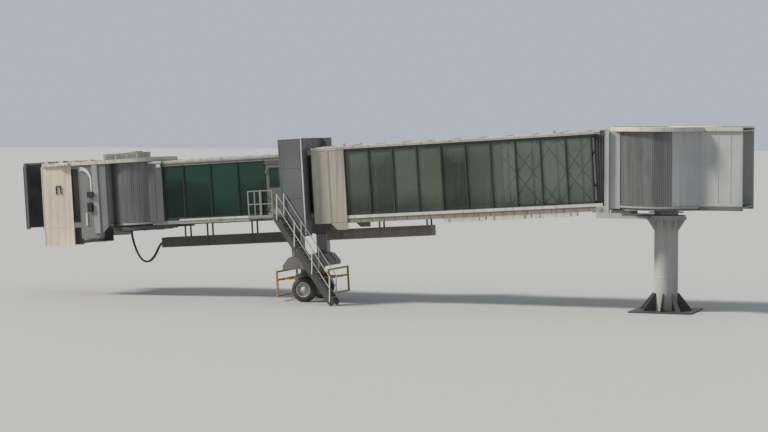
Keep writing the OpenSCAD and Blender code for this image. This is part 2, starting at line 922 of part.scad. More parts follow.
// One leaf of the double door, hinged on the side where y is y1
module door_leaf(y1, y2) {
    s = sign(y2 - y1);
    difference() {
        span(-cross_x - 50, -cross_x - 10, y1, y2, i_floor + 10, i_floor + 2150);
        span(-cross_x - 60, -cross_x, y1 + s * 180, y2 - s * 180, i_floor + 1300, i_floor + 1850);
    }
    translate([-cross_x - cab_wall_t - hinge_r - eps, y1 - s * 14, 0])
        for (z = [i_floor + 200, i_floor + 1700]) {
            translate([0, 0, z])
                cylinder(r = hinge_r, h = 140, $fn = 32);
            span(-hinge_r + 4, hinge_r, 0, s * 70, z, z + 140);
            span(0, 50, s * 20, s * 70, z, z + 140);
        }
}

module cab_door_left() {
    color("silver")
        cab()
            door_leaf(doorway_y2 - 8, -337);
}

module cab_door_right() {
    color("silver")
        cab()
            door_leaf(doorway_y1 + 8, -343);
}

module cab_bumper() {
    color("black")
        cab()
            span(-cab_l - 90, -cab_l, -half + 100, half - 100, i_floor - 80, i_floor);
}

module roof_unit() {
    color("silver")
        cab()
            span(-1480, 90, -600, 600, roof_top, roof_top + 250);
}

module canopy_hoop() {
    x1 = -cab_l - canopy_d - 100;
    x2 = -cab_l - canopy_d;
    color("gray")
        cab() {
            both_sides() {
                span(x1, x2, half - 100, half, i_floor - 50, roof_top + 65);
                span(x1, -cab_l + 1150, 1180, 1240, roof_top + 5, roof_top + 65);
            }
            span(x1, x2, -half, half, roof_top - 80, roof_top + 65);
        }
}

module canopy_bellows() {
    color("darkslategray")
        cab()
            difference() {
                span(-cab_l - canopy_d, -cab_l, -half, half, i_floor, roof_top - 20);
                span(-cab_l - canopy_d - 1, -cab_l + 1, -half + 70, half - 70, i_floor - 1,
                    roof_top - 90);
            }
}

// Cable under the drum

cable_r = 45;
cable_path = [[800 - eps, -550], [720, -550], [600, -640], [490, -800], [360, -1010],
    [200, -1190], [30, -1290], [-150, -1280], [-320, -1150], [-450, -950], [-560, -680],
    [-640, -380], [-680, -120], [-680, i_under - 150 - eps]];

// A tube of eight sides along a run of points in X and Z
module swept_tube(path, r) {
    n = len(path);
    m = 8;
    rings = [for (i = [0:n - 1])
        let (a = path[max(i - 1, 0)],
            b = path[min(i + 1, n - 1)],
            d = (b - a) / norm(b - a),
            side = [-d[1], d[0]])
            for (k = [0:m - 1])
                [path[i][0] + r * cos(k * 360 / m) * side[0], r * sin(k * 360 / m),
                    path[i][1] + r * cos(k * 360 / m) * side[1]]];
    walls = [for (i = [0:n - 2], k = [0:m - 1])
        [i * m + k, i * m + (k + 1) % m, (i + 1) * m + (k + 1) % m, (i + 1) * m + k]];
    polyhedron(rings, concat([[for (k = [m - 1:-1:0]) k]], walls,
        [[for (k = [0:m - 1]) (n - 1) * m + k]]));
}

module cable_loop() {
    color("black")
        cab()
            swept_tube(cable_path, cable_r);
}

pedestal_base();
pedestal_column();
rotunda_floor();
rotunda_shell();
rotunda_roof();
rotunda_curtains();
swing_frame();
rotunda_bellows();
outer_floor();
outer_roof();
outer_frame_left();
outer_frame_right();
outer_glass();
outer_portal();
outer_trough();
inner_floor();
inner_roof();
inner_frame_left();
inner_frame_right();
inner_glass();
inner_trough();
head_frame();
drum_base();
lift_portal();
service_landing();
landing_rails();
service_door();
service_stair();
stair_handrails();
lift_columns();
carriage();
bogie_frame();
bogie_guard();
tyre_left();
tyre_right();
rim_left();
rim_right();
cab_floor();
cab_roof();
cab_wall_left();
cab_wall_right();
cab_bulkhead();
cab_curtains();
cab_door_left();
cab_door_right();
cab_bumper();
roof_unit();
canopy_hoop();
canopy_bellows();
cable_loop();
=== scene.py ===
import json
import math

import bmesh
import bpy
from mathutils import Matrix, Vector


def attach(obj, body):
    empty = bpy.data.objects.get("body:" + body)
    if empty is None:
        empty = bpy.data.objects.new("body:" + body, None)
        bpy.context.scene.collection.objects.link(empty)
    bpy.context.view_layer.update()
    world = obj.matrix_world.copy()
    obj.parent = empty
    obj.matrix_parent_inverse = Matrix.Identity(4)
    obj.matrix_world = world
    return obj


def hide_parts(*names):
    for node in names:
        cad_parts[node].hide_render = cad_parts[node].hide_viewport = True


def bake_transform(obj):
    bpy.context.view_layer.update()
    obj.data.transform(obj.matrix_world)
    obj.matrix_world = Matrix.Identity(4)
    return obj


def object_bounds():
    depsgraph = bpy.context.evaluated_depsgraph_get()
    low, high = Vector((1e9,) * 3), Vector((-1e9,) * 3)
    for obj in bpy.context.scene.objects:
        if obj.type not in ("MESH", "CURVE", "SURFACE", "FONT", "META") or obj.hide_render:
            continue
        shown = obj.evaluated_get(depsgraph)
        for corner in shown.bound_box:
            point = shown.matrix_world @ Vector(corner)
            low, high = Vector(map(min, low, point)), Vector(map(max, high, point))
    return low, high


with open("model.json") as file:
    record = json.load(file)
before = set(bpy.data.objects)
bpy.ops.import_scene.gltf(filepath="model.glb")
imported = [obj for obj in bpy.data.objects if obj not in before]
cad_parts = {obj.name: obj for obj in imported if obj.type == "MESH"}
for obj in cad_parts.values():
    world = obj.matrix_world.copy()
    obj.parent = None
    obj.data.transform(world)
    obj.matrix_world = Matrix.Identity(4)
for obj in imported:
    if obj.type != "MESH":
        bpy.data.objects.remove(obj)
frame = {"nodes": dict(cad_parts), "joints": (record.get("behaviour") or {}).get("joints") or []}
cad_low, cad_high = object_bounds()

# Viewpoint
# The bridge is seen from its door side, nearly square on, turned a little towards the rotunda, with the
# eye just above the roofs. A long lens fills the frame with it.
eye_height = 7.3
eye_distance = 83.0
eye_turn = math.radians(20)
lens_length = 98.0
aim_height = 3.45
aim_shift = 0.55

middle = (cad_low + cad_high) / 2
aim = Vector((middle.x + aim_shift, middle.y, aim_height))
eye = Vector((
    aim.x + eye_distance * math.sin(eye_turn),
    aim.y - eye_distance * math.cos(eye_turn),
    eye_height,
))
camera_data = bpy.data.cameras.new("camera")
camera_data.sensor_width = 36.0
camera_data.lens = lens_length
camera_data.clip_end = 600.0
camera = bpy.data.objects.new("camera", camera_data)
bpy.context.scene.collection.objects.link(camera)
camera.location = eye
camera.rotation_euler = (aim - eye).to_track_quat("-Z", "Y").to_euler()
bpy.context.scene.camera = camera

# Cable loop
# Four rubber-sheathed cables leave the end plate of the inner trough, hang in a free loop and climb
# to the underside of the turntable, so that the cab can turn. Clips at both ends hold them side by side.
cable_diameter = 0.034
cable_pitch = 0.042
cable_count = 4
cable_drop = 0.035
cable_route = [
    (0.7997, -0.55), (0.72, -0.55), (0.60, -0.64), (0.49, -0.80), (0.36, -1.01), (0.20, -1.19),
    (0.03, -1.29), (-0.15, -1.28), (-0.32, -1.15), (-0.45, -0.95), (-0.56, -0.68), (-0.64, -0.38),
    (-0.68, -0.12), (-0.68, 0.0597),
]
upright = Matrix.Identity(4)


def joint_named(name):
    return next(j for j in frame["joints"] if j["name"] == name)


def joint_at(name, place=upright):
    """Where a joint lies, seen in the frame of an assembly."""
    return place.inverted() @ Vector(joint_named(name)["pos_m"])


# The tunnels' own frame has X up the slope to the rotunda, and its origin on the pivot pins
along = -Vector(joint_named("extend")["axis"])
across = Vector((0, 1, 0))
tunnel = Matrix((along, across, along.cross(across))).transposed().to_4x4()
tunnel.translation = joint_at("slope")
cab = tunnel @ Matrix.Translation((joint_at("cab_turn", tunnel).x, 0, 0))
lift = tunnel @ Matrix.Translation((joint_at("steer", tunnel).x, 0, 0))


def reach(node, place):
    """Lowest and highest corner of a node, seen in the frame of the assembly that it belongs to."""
    back = place.inverted()
    points = [back @ v.co for v in frame["nodes"][node].data.vertices]
    low = Vector([min(p[i] for p in points) for i in range(3)])
    high = Vector([max(p[i] for p in points) for i in range(3)])
    return low, high


class Finish:
    """One surface finish: a material with its nodes, fed by the object's own coordinates."""

    def __init__(self, name):
        self.material = bpy.data.materials.new(name)
        self.material.use_nodes = True
        self.nodes = self.material.node_tree.nodes
        self.links = self.material.node_tree.links
        self.surface = self.nodes["Principled BSDF"]
        self.where = self.nodes.new("ShaderNodeTexCoord").outputs["Object"]

    def stretched(self, scale):
        mapping = self.nodes.new("ShaderNodeMapping")
        mapping.inputs["Scale"].default_value = scale
        self.links.new(self.where, mapping.inputs["Vector"])
        return mapping.outputs["Vector"]

    def noise(self, scale, detail=3.0, where=None, rough=0.5):
        noise = self.nodes.new("ShaderNodeTexNoise")
        noise.inputs["Scale"].default_value = scale
        noise.inputs["Detail"].default_value = detail
        noise.inputs["Roughness"].default_value = rough
        self.links.new(where or self.where, noise.inputs["Vector"])
        return noise.outputs["Fac"]

    def patches(self, scale, detail, low, high, to_low=0.0, to_high=1.0, where=None, rough=0.5):
        """Cloudy patches: noise cut off at two limits."""
        return self.fitted(self.noise(scale, detail, where, rough), low, high, to_low, to_high)

    def measured(self, place, axis):
        """How far along an axis of a frame each point of the surface lies."""
        way = place.to_3x3() @ Vector(axis)
        dot = self.nodes.new("ShaderNodeVectorMath")
        dot.operation = "DOT_PRODUCT"
        dot.inputs[1].default_value = way
        self.links.new(self.where, dot.inputs[0])
        return self.joined(dot.outputs["Value"], -way.dot(place.translation), "ADD")

    def upward(self):
        """1 where the surface faces up, 0 on its sides and underside."""
        parts = self.nodes.new("ShaderNodeSeparateXYZ")
        self.links.new(self.where.node.outputs["Normal"], parts.inputs[0])
        return self.fitted(parts.outputs["Z"], 0.7, 0.8)

    def fitted(self, value, low, high, to_low=0.0, to_high=1.0):
        fit = self.nodes.new("ShaderNodeMapRange")
        limits = (("From Min", low), ("From Max", high), ("To Min", to_low), ("To Max", to_high))
        for key, number in limits:
            fit.inputs[key].default_value = number
        self.links.new(value, fit.inputs["Value"])
        return fit.outputs["Result"]

    def joined(self, first, second, how="MULTIPLY"):
        math_node = self.nodes.new("ShaderNodeMath")
        math_node.operation = how
        for socket, value in zip(math_node.inputs, (first, second)):
            if isinstance(value, (int, float)):
                socket.default_value = value
            else:
                self.links.new(value, socket)
        return math_node.outputs["Value"]

    def mixed(self, first, second, share):
        mix = self.nodes.new("ShaderNodeMix")
        mix.data_type = "RGBA"
        mix.clamp_factor = True
        for socket, value in ((mix.inputs[6], first), (mix.inputs[7], second)):
            if isinstance(value, tuple):
                socket.default_value = (*value, 1.0)
            else:
                self.links.new(value, socket)
        self.links.new(share, mix.inputs[0])
        return mix.outputs[2]

    def bump(self, height, strength, distance, under=None):
        bump = self.nodes.new("ShaderNodeBump")
        bump.inputs["Strength"].default_value = strength
        bump.inputs["Distance"].default_value = distance
        self.links.new(height, bump.inputs["Height"])
        if under is not None:
            self.links.new(under, bump.inputs["Normal"])
        return bump.outputs["Normal"]

    def set(self, socket, value):
        if isinstance(value, (int, float)):
            self.surface.inputs[socket].default_value = value
        elif isinstance(value, tuple):
            self.surface.inputs[socket].default_value = (*value, 1.0)
        else:
            self.links.new(value, self.surface.inputs[socket])


def rubber(name, colour, roughness, grain=90.0):
    """Moulded black rubber, dusted grey by weather, with a fine pebbled skin."""
    finish = Finish(name)
    dust = finish.patches(1.8, 5.0, 0.42, 0.72)
    grey = tuple(0.7 * c + 0.06 for c in colour)
    finish.set("Base Color", finish.mixed(colour, grey, dust))
    finish.set("Roughness", finish.patches(6.0, 3.0, 0.3, 0.7, roughness - 0.1, roughness + 0.1))
    finish.set("Normal", finish.bump(finish.noise(grain, 3.0), 0.25, 0.002))
    return finish.material


def carried(name, data, finish, body):
    """Adds a finished mesh or curve to the scene, and gives it to the body that carries it; a piece given two
    bodies is only fixed in place.
    """
    made = bpy.data.objects.new(name, data)
    bpy.context.scene.collection.objects.link(made)
    made.data.materials.append(finish)
    if isinstance(body, tuple):
        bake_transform(made)
    else:
        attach(made, body)
    return made


def smoothed(name, shape, sharp):
    """Writes a shape to a mesh, shaded smooth up to its sharp edges."""
    mesh = bpy.data.meshes.new(name)
    shape.to_mesh(mesh)
    shape.free()
    mesh.shade_smooth()
    mesh.set_sharp_from_angle(angle=math.radians(sharp))
    return mesh


def piece(name, shape, place, finish, body, sharp=35.0):
    """Places a shape, turns its faces outwards and adds it as a piece."""
    shape.transform(place)
    bmesh.ops.recalc_face_normals(shape, faces=shape.faces[:])
    return carried(name, smoothed(name, shape, sharp), finish, body)


def about(centre, half):
    """The two limits of something centred on a line."""
    return centre - half, centre + half


def block(shape, x, y, z, edge=0.0):
    """A bar, plate or box between pairs of limits, with its edges broken."""
    limits = [sorted(pair) for pair in (x, y, z)]
    centre = Matrix.Translation([sum(pair) / 2 for pair in limits])
    size = Matrix.Diagonal([pair[1] - pair[0] for pair in limits] + [1])
    made = bmesh.ops.create_cube(shape, size=1.0, matrix=centre @ size)
    if edge:
        edges = list({e for v in made["verts"] for e in v.link_edges})
        bmesh.ops.bevel(shape, geom=edges, offset=edge, offset_type="OFFSET", affect="EDGES", segments=1,
                        profile=0.5, material=-1, clamp_overlap=True)


rubber_black = rubber("cable rubber", (0.018, 0.018, 0.018), 0.55)
for number in range(cable_count):
    sideways = (number - (cable_count - 1) / 2) * cable_pitch
    slack = (number % 2) * cable_drop
    line = bpy.data.curves.new(f"loop_cable_{number + 1}", "CURVE")
    line.dimensions = "3D"
    line.bevel_depth = cable_diameter / 2
    line.bevel_resolution = 3
    line.resolution_u = 8
    line.use_fill_caps = True
    spline = line.splines.new("BEZIER")
    spline.bezier_points.add(len(cable_route) - 1)
    for step, (point, (x, z)) in enumerate(zip(spline.bezier_points, cable_route)):
        hang = slack * math.sin(math.pi * step / (len(cable_route) - 1))
        point.co = cab @ Vector((x, sideways, z - hang))
        point.handle_left_type = point.handle_right_type = "AUTO"
    cable = carried(line.name, line, rubber_black, "inner_tunnel")
    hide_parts("cable_loop")

loop_clips = bmesh.new()
clip_y = about(0, cable_count * cable_pitch / 2 + 0.012)
clip_half = 0.015
clip_plate = 0.0035
clip_gap = 0.0225
exit_z = cable_route[0][1]
climb_x = cable_route[-1][0]
for off in (-clip_gap, clip_gap):
    block(loop_clips, about(0.735, clip_half), clip_y, about(exit_z + off, clip_plate), 0.002)
    block(loop_clips, about(climb_x + off, clip_plate), clip_y, about(-0.03, clip_half), 0.002)


# Pedestal
# The foot is a thick steel plate with eight welded gussets, bolted down at its corners. The pipe on it
# is rolled plate, painted light grey, with weld beads at its joints and a ring of bolts under its head.
def darker(colour, share):
    return tuple(c * share for c in colour)


def painted(name, colour, roughness=0.42, grime=0.35, rust=0.0, waves=0.12, second=None):
    """Sprayed paint on sheet steel: cloudy with age, rain runs down it, and slightly wavy in the light.
    A second colour can start at a line across the part, given by a frame and a distance in it."""
    finish = Finish(name)
    soot = (0.06, 0.055, 0.05)
    faded = 0.84
    cloud = finish.patches(0.55, 5.0, 0.35, 0.7)
    tone = finish.mixed(colour, darker(colour, faded), cloud)
    if second:
        other, place, line_x = second
        past = finish.joined(finish.measured(place, (1, 0, 0)), line_x, "GREATER_THAN")
        tone = finish.mixed(tone, finish.mixed(other, darker(other, faded), cloud), past)
    runs = finish.patches(1.0, 5.0, 0.5, 0.85, 0.0, grime, finish.stretched((6.0, 6.0, 0.3)))
    tone = finish.mixed(tone, soot, runs)
    tone = finish.mixed(tone, soot, finish.patches(14.0, 4.0, 0.55, 0.8, 0.0, 0.25 * grime))
    if rust:
        spots = finish.patches(3.5, 8.0, 0.6, 0.68, rough=0.7)
        tone = finish.mixed(tone, (0.17, 0.07, 0.03), finish.joined(spots, rust))
    finish.set("Base Color", tone)
    finish.set("Roughness", finish.patches(2.5, 4.0, 0.3, 0.7, roughness - 0.08, roughness + 0.14))
    swell = finish.bump(finish.noise(1.3, 2.0), waves, 0.03)
    finish.set("Normal", finish.bump(finish.noise(180.0, 2.0), 0.05, 0.001, swell))
    return finish.material


def clad(finish, *names):
    """Gives CAD parts their finish."""
    for name in names:
        for place in frame["nodes"][name].material_slots:
            place.material = finish


def ring(shape, outline, centre=(0, 0, 0), steps=96, start=0.0, sweep=360.0):
    """Spins a closed outline of (radius, height) points about the upright through the centre."""
    turn = Matrix.Rotation(math.radians(start), 4, "Z")
    points = [shape.verts.new(turn @ Vector((r, 0, z)) + Vector(centre)) for r, z in outline]
    edges = [shape.edges.new((a, b)) for a, b in zip(points, points[1:] + points[:1])]
    whole = sweep >= 360.0
    spun = points + edges
    if not whole:
        bmesh.ops.contextual_create(shape, geom=edges)
        spun = [f for f in shape.faces if all(v in points for v in f.verts)]
    bmesh.ops.spin(shape, geom=spun, cent=centre, axis=(0, 0, 1), angle=math.radians(sweep), steps=steps,
                   use_merge=whole, use_duplicate=False)


def hoop(shape, radii, heights, *place, **sweep):
    """A ring of flat bar between two radii and two heights."""
    (r1, r2), (z1, z2) = radii, heights
    ring(shape, [(r1, z1), (r2, z1), (r2, z2), (r1, z2)], *place, **sweep)


def around(count, radius, z=0.0, start=0.0):
    """Places spaced evenly round a circle."""
    for number in range(count):
        angle = math.radians(start + number * 360 / count)
        yield Vector((radius * math.cos(angle), radius * math.sin(angle), z))


def rod(shape, start, end, radius, sides=10, taper=1.0):
    """A round bar, pipe, bolt or boss from one point to another."""
    start, end = Vector(start), Vector(end)
    turn = (end - start).to_track_quat("Z", "Y").to_matrix().to_4x4()
    bmesh.ops.create_cone(shape, cap_ends=True, cap_tris=False, segments=sides, radius1=radius,
                          radius2=radius * taper, depth=(end - start).length,
                          matrix=Matrix.Translation((start + end) / 2) @ turn)


def stud(shape, seat, way, radius, sides=6):
    """A bolt head, nut or boss that stands on its seat."""
    rod(shape, seat, Vector(seat) + Vector(way), radius, sides)


steel_dark = painted("dark steel paint", (0.075, 0.078, 0.08), 0.5, 0.3, rust=0.5)
column_grey = painted("column paint", (0.42, 0.42, 0.4), 0.4, 0.35)
clad(steel_dark, "pedestal_base", "drum_base")
clad(column_grey, "pedestal_column")
piece("loop_clips", loop_clips, cab, steel_dark, "inner_tunnel")

floor_low, floor_high = reach("rotunda_floor", upright)
pipe_foot = reach("pedestal_column", upright)[0].z
pipe_radius = 0.45
head_radius = 0.76
head_z = floor_high.z - 0.55
weld_bead = ((-0.01, -0.014), (0.004, -0.012), (0.009, 0.0), (0.004, 0.012), (-0.01, 0.014))
welds = bmesh.new()
for z in (pipe_foot + 0.004, 1.30, 2.45, head_z - 0.42):
    ring(welds, [(pipe_radius + out, z + up) for out, up in weld_bead], steps=64)
piece("pedestal_welds", welds, upright, column_grey, "pedestal")

bolts = bmesh.new()
head_bolt_count = 24
washer = Vector((0, 0, -0.008))
for at in around(head_bolt_count, head_radius - 0.06, head_z, 7.5):
    stud(bolts, at, washer, 0.034, 12)
    stud(bolts, at + washer, (0, 0, -0.026), 0.026)
zinc = painted("zinc plated bolts", (0.36, 0.36, 0.35), 0.35, 0.3, waves=0.0)
piece("pedestal_head_bolts", bolts, upright, zinc, "pedestal")

# Rotunda
# A round room on the pedestal: a steel deck with a rim channel, curved walls of folded sheet with batten
# joints, a short passage that ends plainly, and a flat sheet roof with standing seams and a drip edge.
deck_finish = Finish("ribbed rubber deck")
rubber_wear = deck_finish.patches(1.1, 6.0, 0.4, 0.75)
deck_tone = deck_finish.mixed((0.06, 0.063, 0.065), (0.11, 0.105, 0.1), rubber_wear)
deck_top_share = deck_finish.upward()
steel_wear = deck_finish.patches(1.7, 5.0, 0.4, 0.7)
steel_tone = deck_finish.mixed((0.16, 0.16, 0.155), (0.10, 0.095, 0.088), steel_wear)
deck_finish.set("Base Color", deck_finish.mixed(steel_tone, deck_tone, deck_top_share))
deck_finish.set("Roughness", deck_finish.fitted(deck_top_share, 0.0, 1.0, 0.46, 0.68))
deck_ribs = deck_finish.nodes.new("ShaderNodeTexWave")
deck_ribs.wave_profile = "SIN"
deck_ribs.bands_direction = "Y"
deck_ribs.inputs["Scale"].default_value = 28.0
deck_finish.links.new(deck_finish.where, deck_ribs.inputs["Vector"])
deck_height = deck_finish.joined(deck_ribs.outputs["Fac"], deck_top_share)
deck_finish.set("Normal", deck_finish.bump(deck_height, 0.35, 0.003))
wall_grey = painted("light grey sheet", (0.47, 0.48, 0.47), 0.4, 0.35)
roof_white = painted("white roof sheet", (0.58, 0.545, 0.49), 0.45, 0.5)
clad(deck_finish.material, "rotunda_floor", "cab_floor")
clad(wall_grey, "rotunda_shell", "swing_frame")
clad(roof_white, "rotunda_roof")

shell_low, shell_high = reach("rotunda_shell", upright)
roof_low, roof_high = reach("rotunda_roof", upright)
floor_radius = -floor_low.x
roof_radius = -roof_low.x
roof_top = roof_high.z
rim = bmesh.new()
hoop(rim, (floor_radius - 0.02, floor_radius + 0.012), (floor_high.z - 0.075, floor_high.z - 0.004),
     steps=104, start=40, sweep=280)
piece("rotunda_deck_rim", rim, upright, zinc, "pedestal")


def on_wall(side, wall, out, sunk=0.002):
    """The limits of something laid on a side wall: how far it stands out, and how far it is sunk in."""
    return side * (wall - sunk), side * (wall + out)


def turned_block(shape, turn, x, y, z, edge=0.0):
    """A block that is turned into place before it joins the rest."""
    part = bmesh.new()
    block(part, x, y, z, edge)
    part.transform(turn)
    spare = bpy.data.meshes.new("spare")
    part.to_mesh(spare)
    part.free()
    shape.from_mesh(spare)
    bpy.data.meshes.remove(spare)


battens = bmesh.new()
wall_radius = floor_radius - 0.03
passage_face = 1.20
batten_half = 0.03
batten_z = (shell_low.z + 0.01, shell_high.z - 0.01)
cover_x = (1.56, shell_high.x - 0.01)
for side in (-1, 1):
    for degrees in (44, 54, 64, 74):
        turned_block(battens, Matrix.Rotation(math.radians(side * degrees), 4, "Z"),
                     (wall_radius - 0.004, wall_radius + 0.01), about(0, batten_half), batten_z, 0.003)
    for x in (1.72, 2.18, 2.64, shell_high.x - batten_half):
        block(battens, about(x, batten_half), on_wall(side, passage_face, 0.01, 0.004), batten_z, 0.003)
    for z in (shell_low.z + 0.06, shell_high.z - 0.06):
        block(battens, cover_x, on_wall(side, passage_face, 0.014), about(z, 0.045), 0.003)
piece("rotunda_battens", battens, upright, wall_grey, "pedestal")

seams = bmesh.new()
seam_half = 0.012
seam_z = (roof_top - 0.004, roof_top + 0.026)
seam_count = 16
for count in range(seam_count):
    degrees = (count + 0.5) * 360 / seam_count
    turned_block(seams, Matrix.Rotation(math.radians(degrees), 4, "Z"), (0.22, roof_radius - 0.01),
                 about(0, seam_half), seam_z, 0.004)
roof_cap = [(0.0001, -0.003), (0.26, -0.003), (0.24, 0.03), (0.0001, 0.045)]
ring(seams, [(r, roof_top + up) for r, up in roof_cap], steps=32)
drip_edge = [(-0.002, -0.165), (0.014, -0.165), (0.014, -0.02), (-0.002, -0.002)]
ring(seams, [(roof_radius + out, roof_top + up) for out, up in drip_edge], steps=104, start=39, sweep=282)
for x in (2.30, 2.78, roof_high.x - 0.015):
    block(seams, about(x, seam_half), about(0, 1.27), seam_z, 0.004)
piece("rotunda_roof_seams", seams, upright, roof_white, "pedestal")


# Rotunda curtains
# Roll-up curtains of interlocking aluminium slats close the round wall between the fixed walls and the
# turning gate. In use one end stays with the wall and the other goes with the gate; here each curtain is
# only fixed in place.
def slat_curtain(name, radius, start, sweep, low, high, pitch, place, body):
    """An upright sheet bent round an arc, its columns of points pressed into crowned slats with grooves."""
    crown = (-0.005, 0.002, 0.005, 0.006, 0.005, 0.002)
    count = max(2, round(radius * math.radians(abs(sweep)) / pitch))
    steps = count * len(crown)
    shape = bmesh.new()
    foot = Matrix.Rotation(math.radians(start), 4, "Z") @ Vector((radius, 0, low))
    ends = [shape.verts.new(foot), shape.verts.new(foot + Vector((0, 0, high - low)))]
    edge = shape.edges.new(ends)
    bmesh.ops.spin(shape, geom=ends + [edge], cent=(0, 0, 0), axis=(0, 0, 1), angle=math.radians(sweep),
                   steps=steps, use_merge=False, use_duplicate=False)
    for v in shape.verts:
        turned = math.degrees(math.atan2(v.co.y, v.co.x)) - start
        turned = (turned + 180.0) % 360.0 - 180.0
        column = round(turned / sweep * steps)
        grow = 1 + crown[column % len(crown)] / radius
        v.co.x *= grow
        v.co.y *= grow
    shape.transform(place)
    bmesh.ops.recalc_face_normals(shape, faces=shape.faces[:])
    bmesh.ops.solidify(shape, geom=shape.faces[:], thickness=0.003)
    return carried(name, smoothed(name, shape, 40.0), slats.material, body)


# The slats' dark grey is partly weathered metal and partly painted shade: it is kept dark to stand for the
# shadow over the drum.
slats = Finish("weathered slats with painted shade")
slat_tone = slats.mixed((0.13, 0.132, 0.135), (0.19, 0.19, 0.19),
                        slats.patches(0.9, 3.0, 0.35, 0.65, where=slats.stretched((5, 5, 0.25))))
slat_dirt = slats.patches(2.0, 6.0, 0.5, 0.8, 0, 0.45, slats.stretched((4, 4, 0.5)))
slats.set("Base Color", slats.mixed(slat_tone, (0.07, 0.066, 0.06), slat_dirt))
slats.set("Metallic", 0.35)
slats.set("Roughness", slats.patches(3.0, 3.0, 0.3, 0.7, 0.38, 0.56))
slats.set("Normal", slats.bump(slats.noise(60.0, 2.0), 0.08, 0.001))


def round_point(place, degrees, radius, z):
    """A point on an upright cylinder of an assembly."""
    return place @ (Matrix.Rotation(math.radians(degrees), 4, "Z") @ Vector((radius, 0, z)))


curtain_top = reach("rotunda_curtains", upright)[1].z
curtain_radius = floor_radius - 0.0175
curtain_start = 72
curtain_sweep = 70.5
curtain_holds = (76, 141)
slat_pitch = 0.07
for side, name in ((1, "left"), (-1, "right")):
    fixed_end, gate_end = (round_point(upright, side * degrees, curtain_radius, floor_high.z)
                           for degrees in curtain_holds)
    curtain = slat_curtain(f"rotunda_curtain_{name}", curtain_radius, side * curtain_start,
                           side * curtain_sweep, floor_high.z + 0.004, curtain_top - 0.003, slat_pitch,
                           upright, ("pedestal", "swing", fixed_end, gate_end))
    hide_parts("rotunda_curtains")


# Swing frame
# The part that turns round the pedestal: a slewing ring, a gate of box section at the tunnel's mouth and
# two arms below it. Each arm ends in a pin that carries the outer tunnel, kept in by a bolted cap.
def pitched(start, pitch, count):
    """Places in a row, one pitch apart."""
    return [start + number * pitch for number in range(count)]


def studs(shape, side, wall, places_x, places_z, seat, top, radius, sides=6, taper=1.0):
    """Bolts, screws or rivets on a side wall, one at each crossing of the places along it and up it."""
    for x in places_x:
        for z in places_z:
            rod(shape, (x, side * (wall + seat), z), (x, side * (wall + top), z), radius, sides, taper)


pin = tunnel.translation
arm_face = reach("swing_frame", upright)[1].y
gate_top = reach("swing_frame", upright)[1].z
caps = bmesh.new()
cap_plate = 0.02
cap_boss = 0.032
cap_radius = 0.10
for side in (-1, 1):
    studs(caps, side, arm_face, [pin.x], [pin.z], 0.0, cap_plate, cap_radius, 32)
    studs(caps, side, arm_face, [pin.x], [pin.z], cap_plate, cap_boss, 0.055, 24)
    for spot in around(6, cap_radius - 0.022):
        studs(caps, side, arm_face, [pin.x + spot.x], [pin.z + spot.y], cap_plate, cap_boss, 0.011)
piece("swing_pin_caps", caps, upright, zinc, "swing")

gate_trim = bmesh.new()
gate_x = (-2.085, -1.925)
gate_half = 1.30
for side in (-1, 1):
    for x in ((gate_x[0] - 0.006, gate_x[0] + 0.03), (gate_x[1] - 0.03, gate_x[1] + 0.004)):
        block(gate_trim, x, on_wall(side, gate_half, 0.008, 0.004), (3.70, gate_top - 0.005), 0.003)
    studs(gate_trim, side, gate_half, [sum(gate_x) / 2], pitched(3.85, 0.38, 8), 0.0, 0.01, 0.014)
piece("swing_gate_trim", gate_trim, upright, wall_grey, "swing")

slew = bmesh.new()
slew_z = floor_high.z - 0.29
for at in around(32, 0.66, slew_z):
    stud(slew, at, (0, 0, 0.022), 0.018)
hoop(slew, (0.56, 0.61), (slew_z - 0.002, slew_z + 0.018), steps=48)
piece("slewing_ring_bolts", slew, upright, zinc, "swing")


# Rotunda bellows
# A short folded sleeve of coated fabric between the gate and the rear end of the outer tunnel, open at
# the floor, so that the tunnel can rise and fall about its pins.
def arch(share, half_width, bottom, top, corner):
    """A point on an upside-down U with round shoulders, and the way towards its inside."""
    leg = top - bottom - corner
    bend = corner * math.pi / 2
    beam = 2 * (half_width - corner)
    at = share * (2 * leg + 2 * bend + beam)
    flip = 1
    if at > leg + bend + beam / 2:
        at = 2 * leg + 2 * bend + beam - at
        flip = -1
    if at <= leg:
        return flip * -half_width, bottom + at, flip * 1.0, 0.0
    if at <= leg + bend:
        angle = (at - leg) / corner
        y = -half_width + corner - corner * math.cos(angle)
        return flip * y, top - corner + corner * math.sin(angle), flip * math.cos(angle), -math.sin(angle)
    return flip * (-half_width + corner + at - leg - bend), top, 0.0, -1.0


def arch_at(x, outline, place=upright):
    """An arch that stands across a frame, as a function of the share of its girth."""
    def point(share):
        y, z, in_y, in_z = arch(share, *outline)
        return place @ Vector((x, y, z)), in_y, in_z
    return point


def bellows(name, near, far, folds, depth, columns, finish, body, place):
    """A grid bent between two arches, with every second row pulled in to make the folds."""
    shape = bmesh.new()
    rows = 2 * folds
    bmesh.ops.create_grid(shape, x_segments=columns, y_segments=rows, size=0.5)
    for v in shape.verts:
        share, step = v.co.x + 0.5, round((v.co.y + 0.5) * rows)
        w = step / rows
        (a, a_y, a_z), (b, b_y, b_z) = near(share), far(share)
        inward = depth if step % 2 else 0.0
        v.co = a.lerp(b, w) + inward * Vector((0, a_y * (1 - w) + b_y * w, a_z * (1 - w) + b_z * w))
    shape.transform(place)
    bmesh.ops.recalc_face_normals(shape, faces=shape.faces[:])
    made = carried(name, smoothed(name, shape, 30.0), finish, body)
    made.modifiers.new("thickness", "SOLIDIFY").thickness = 0.004
    return made


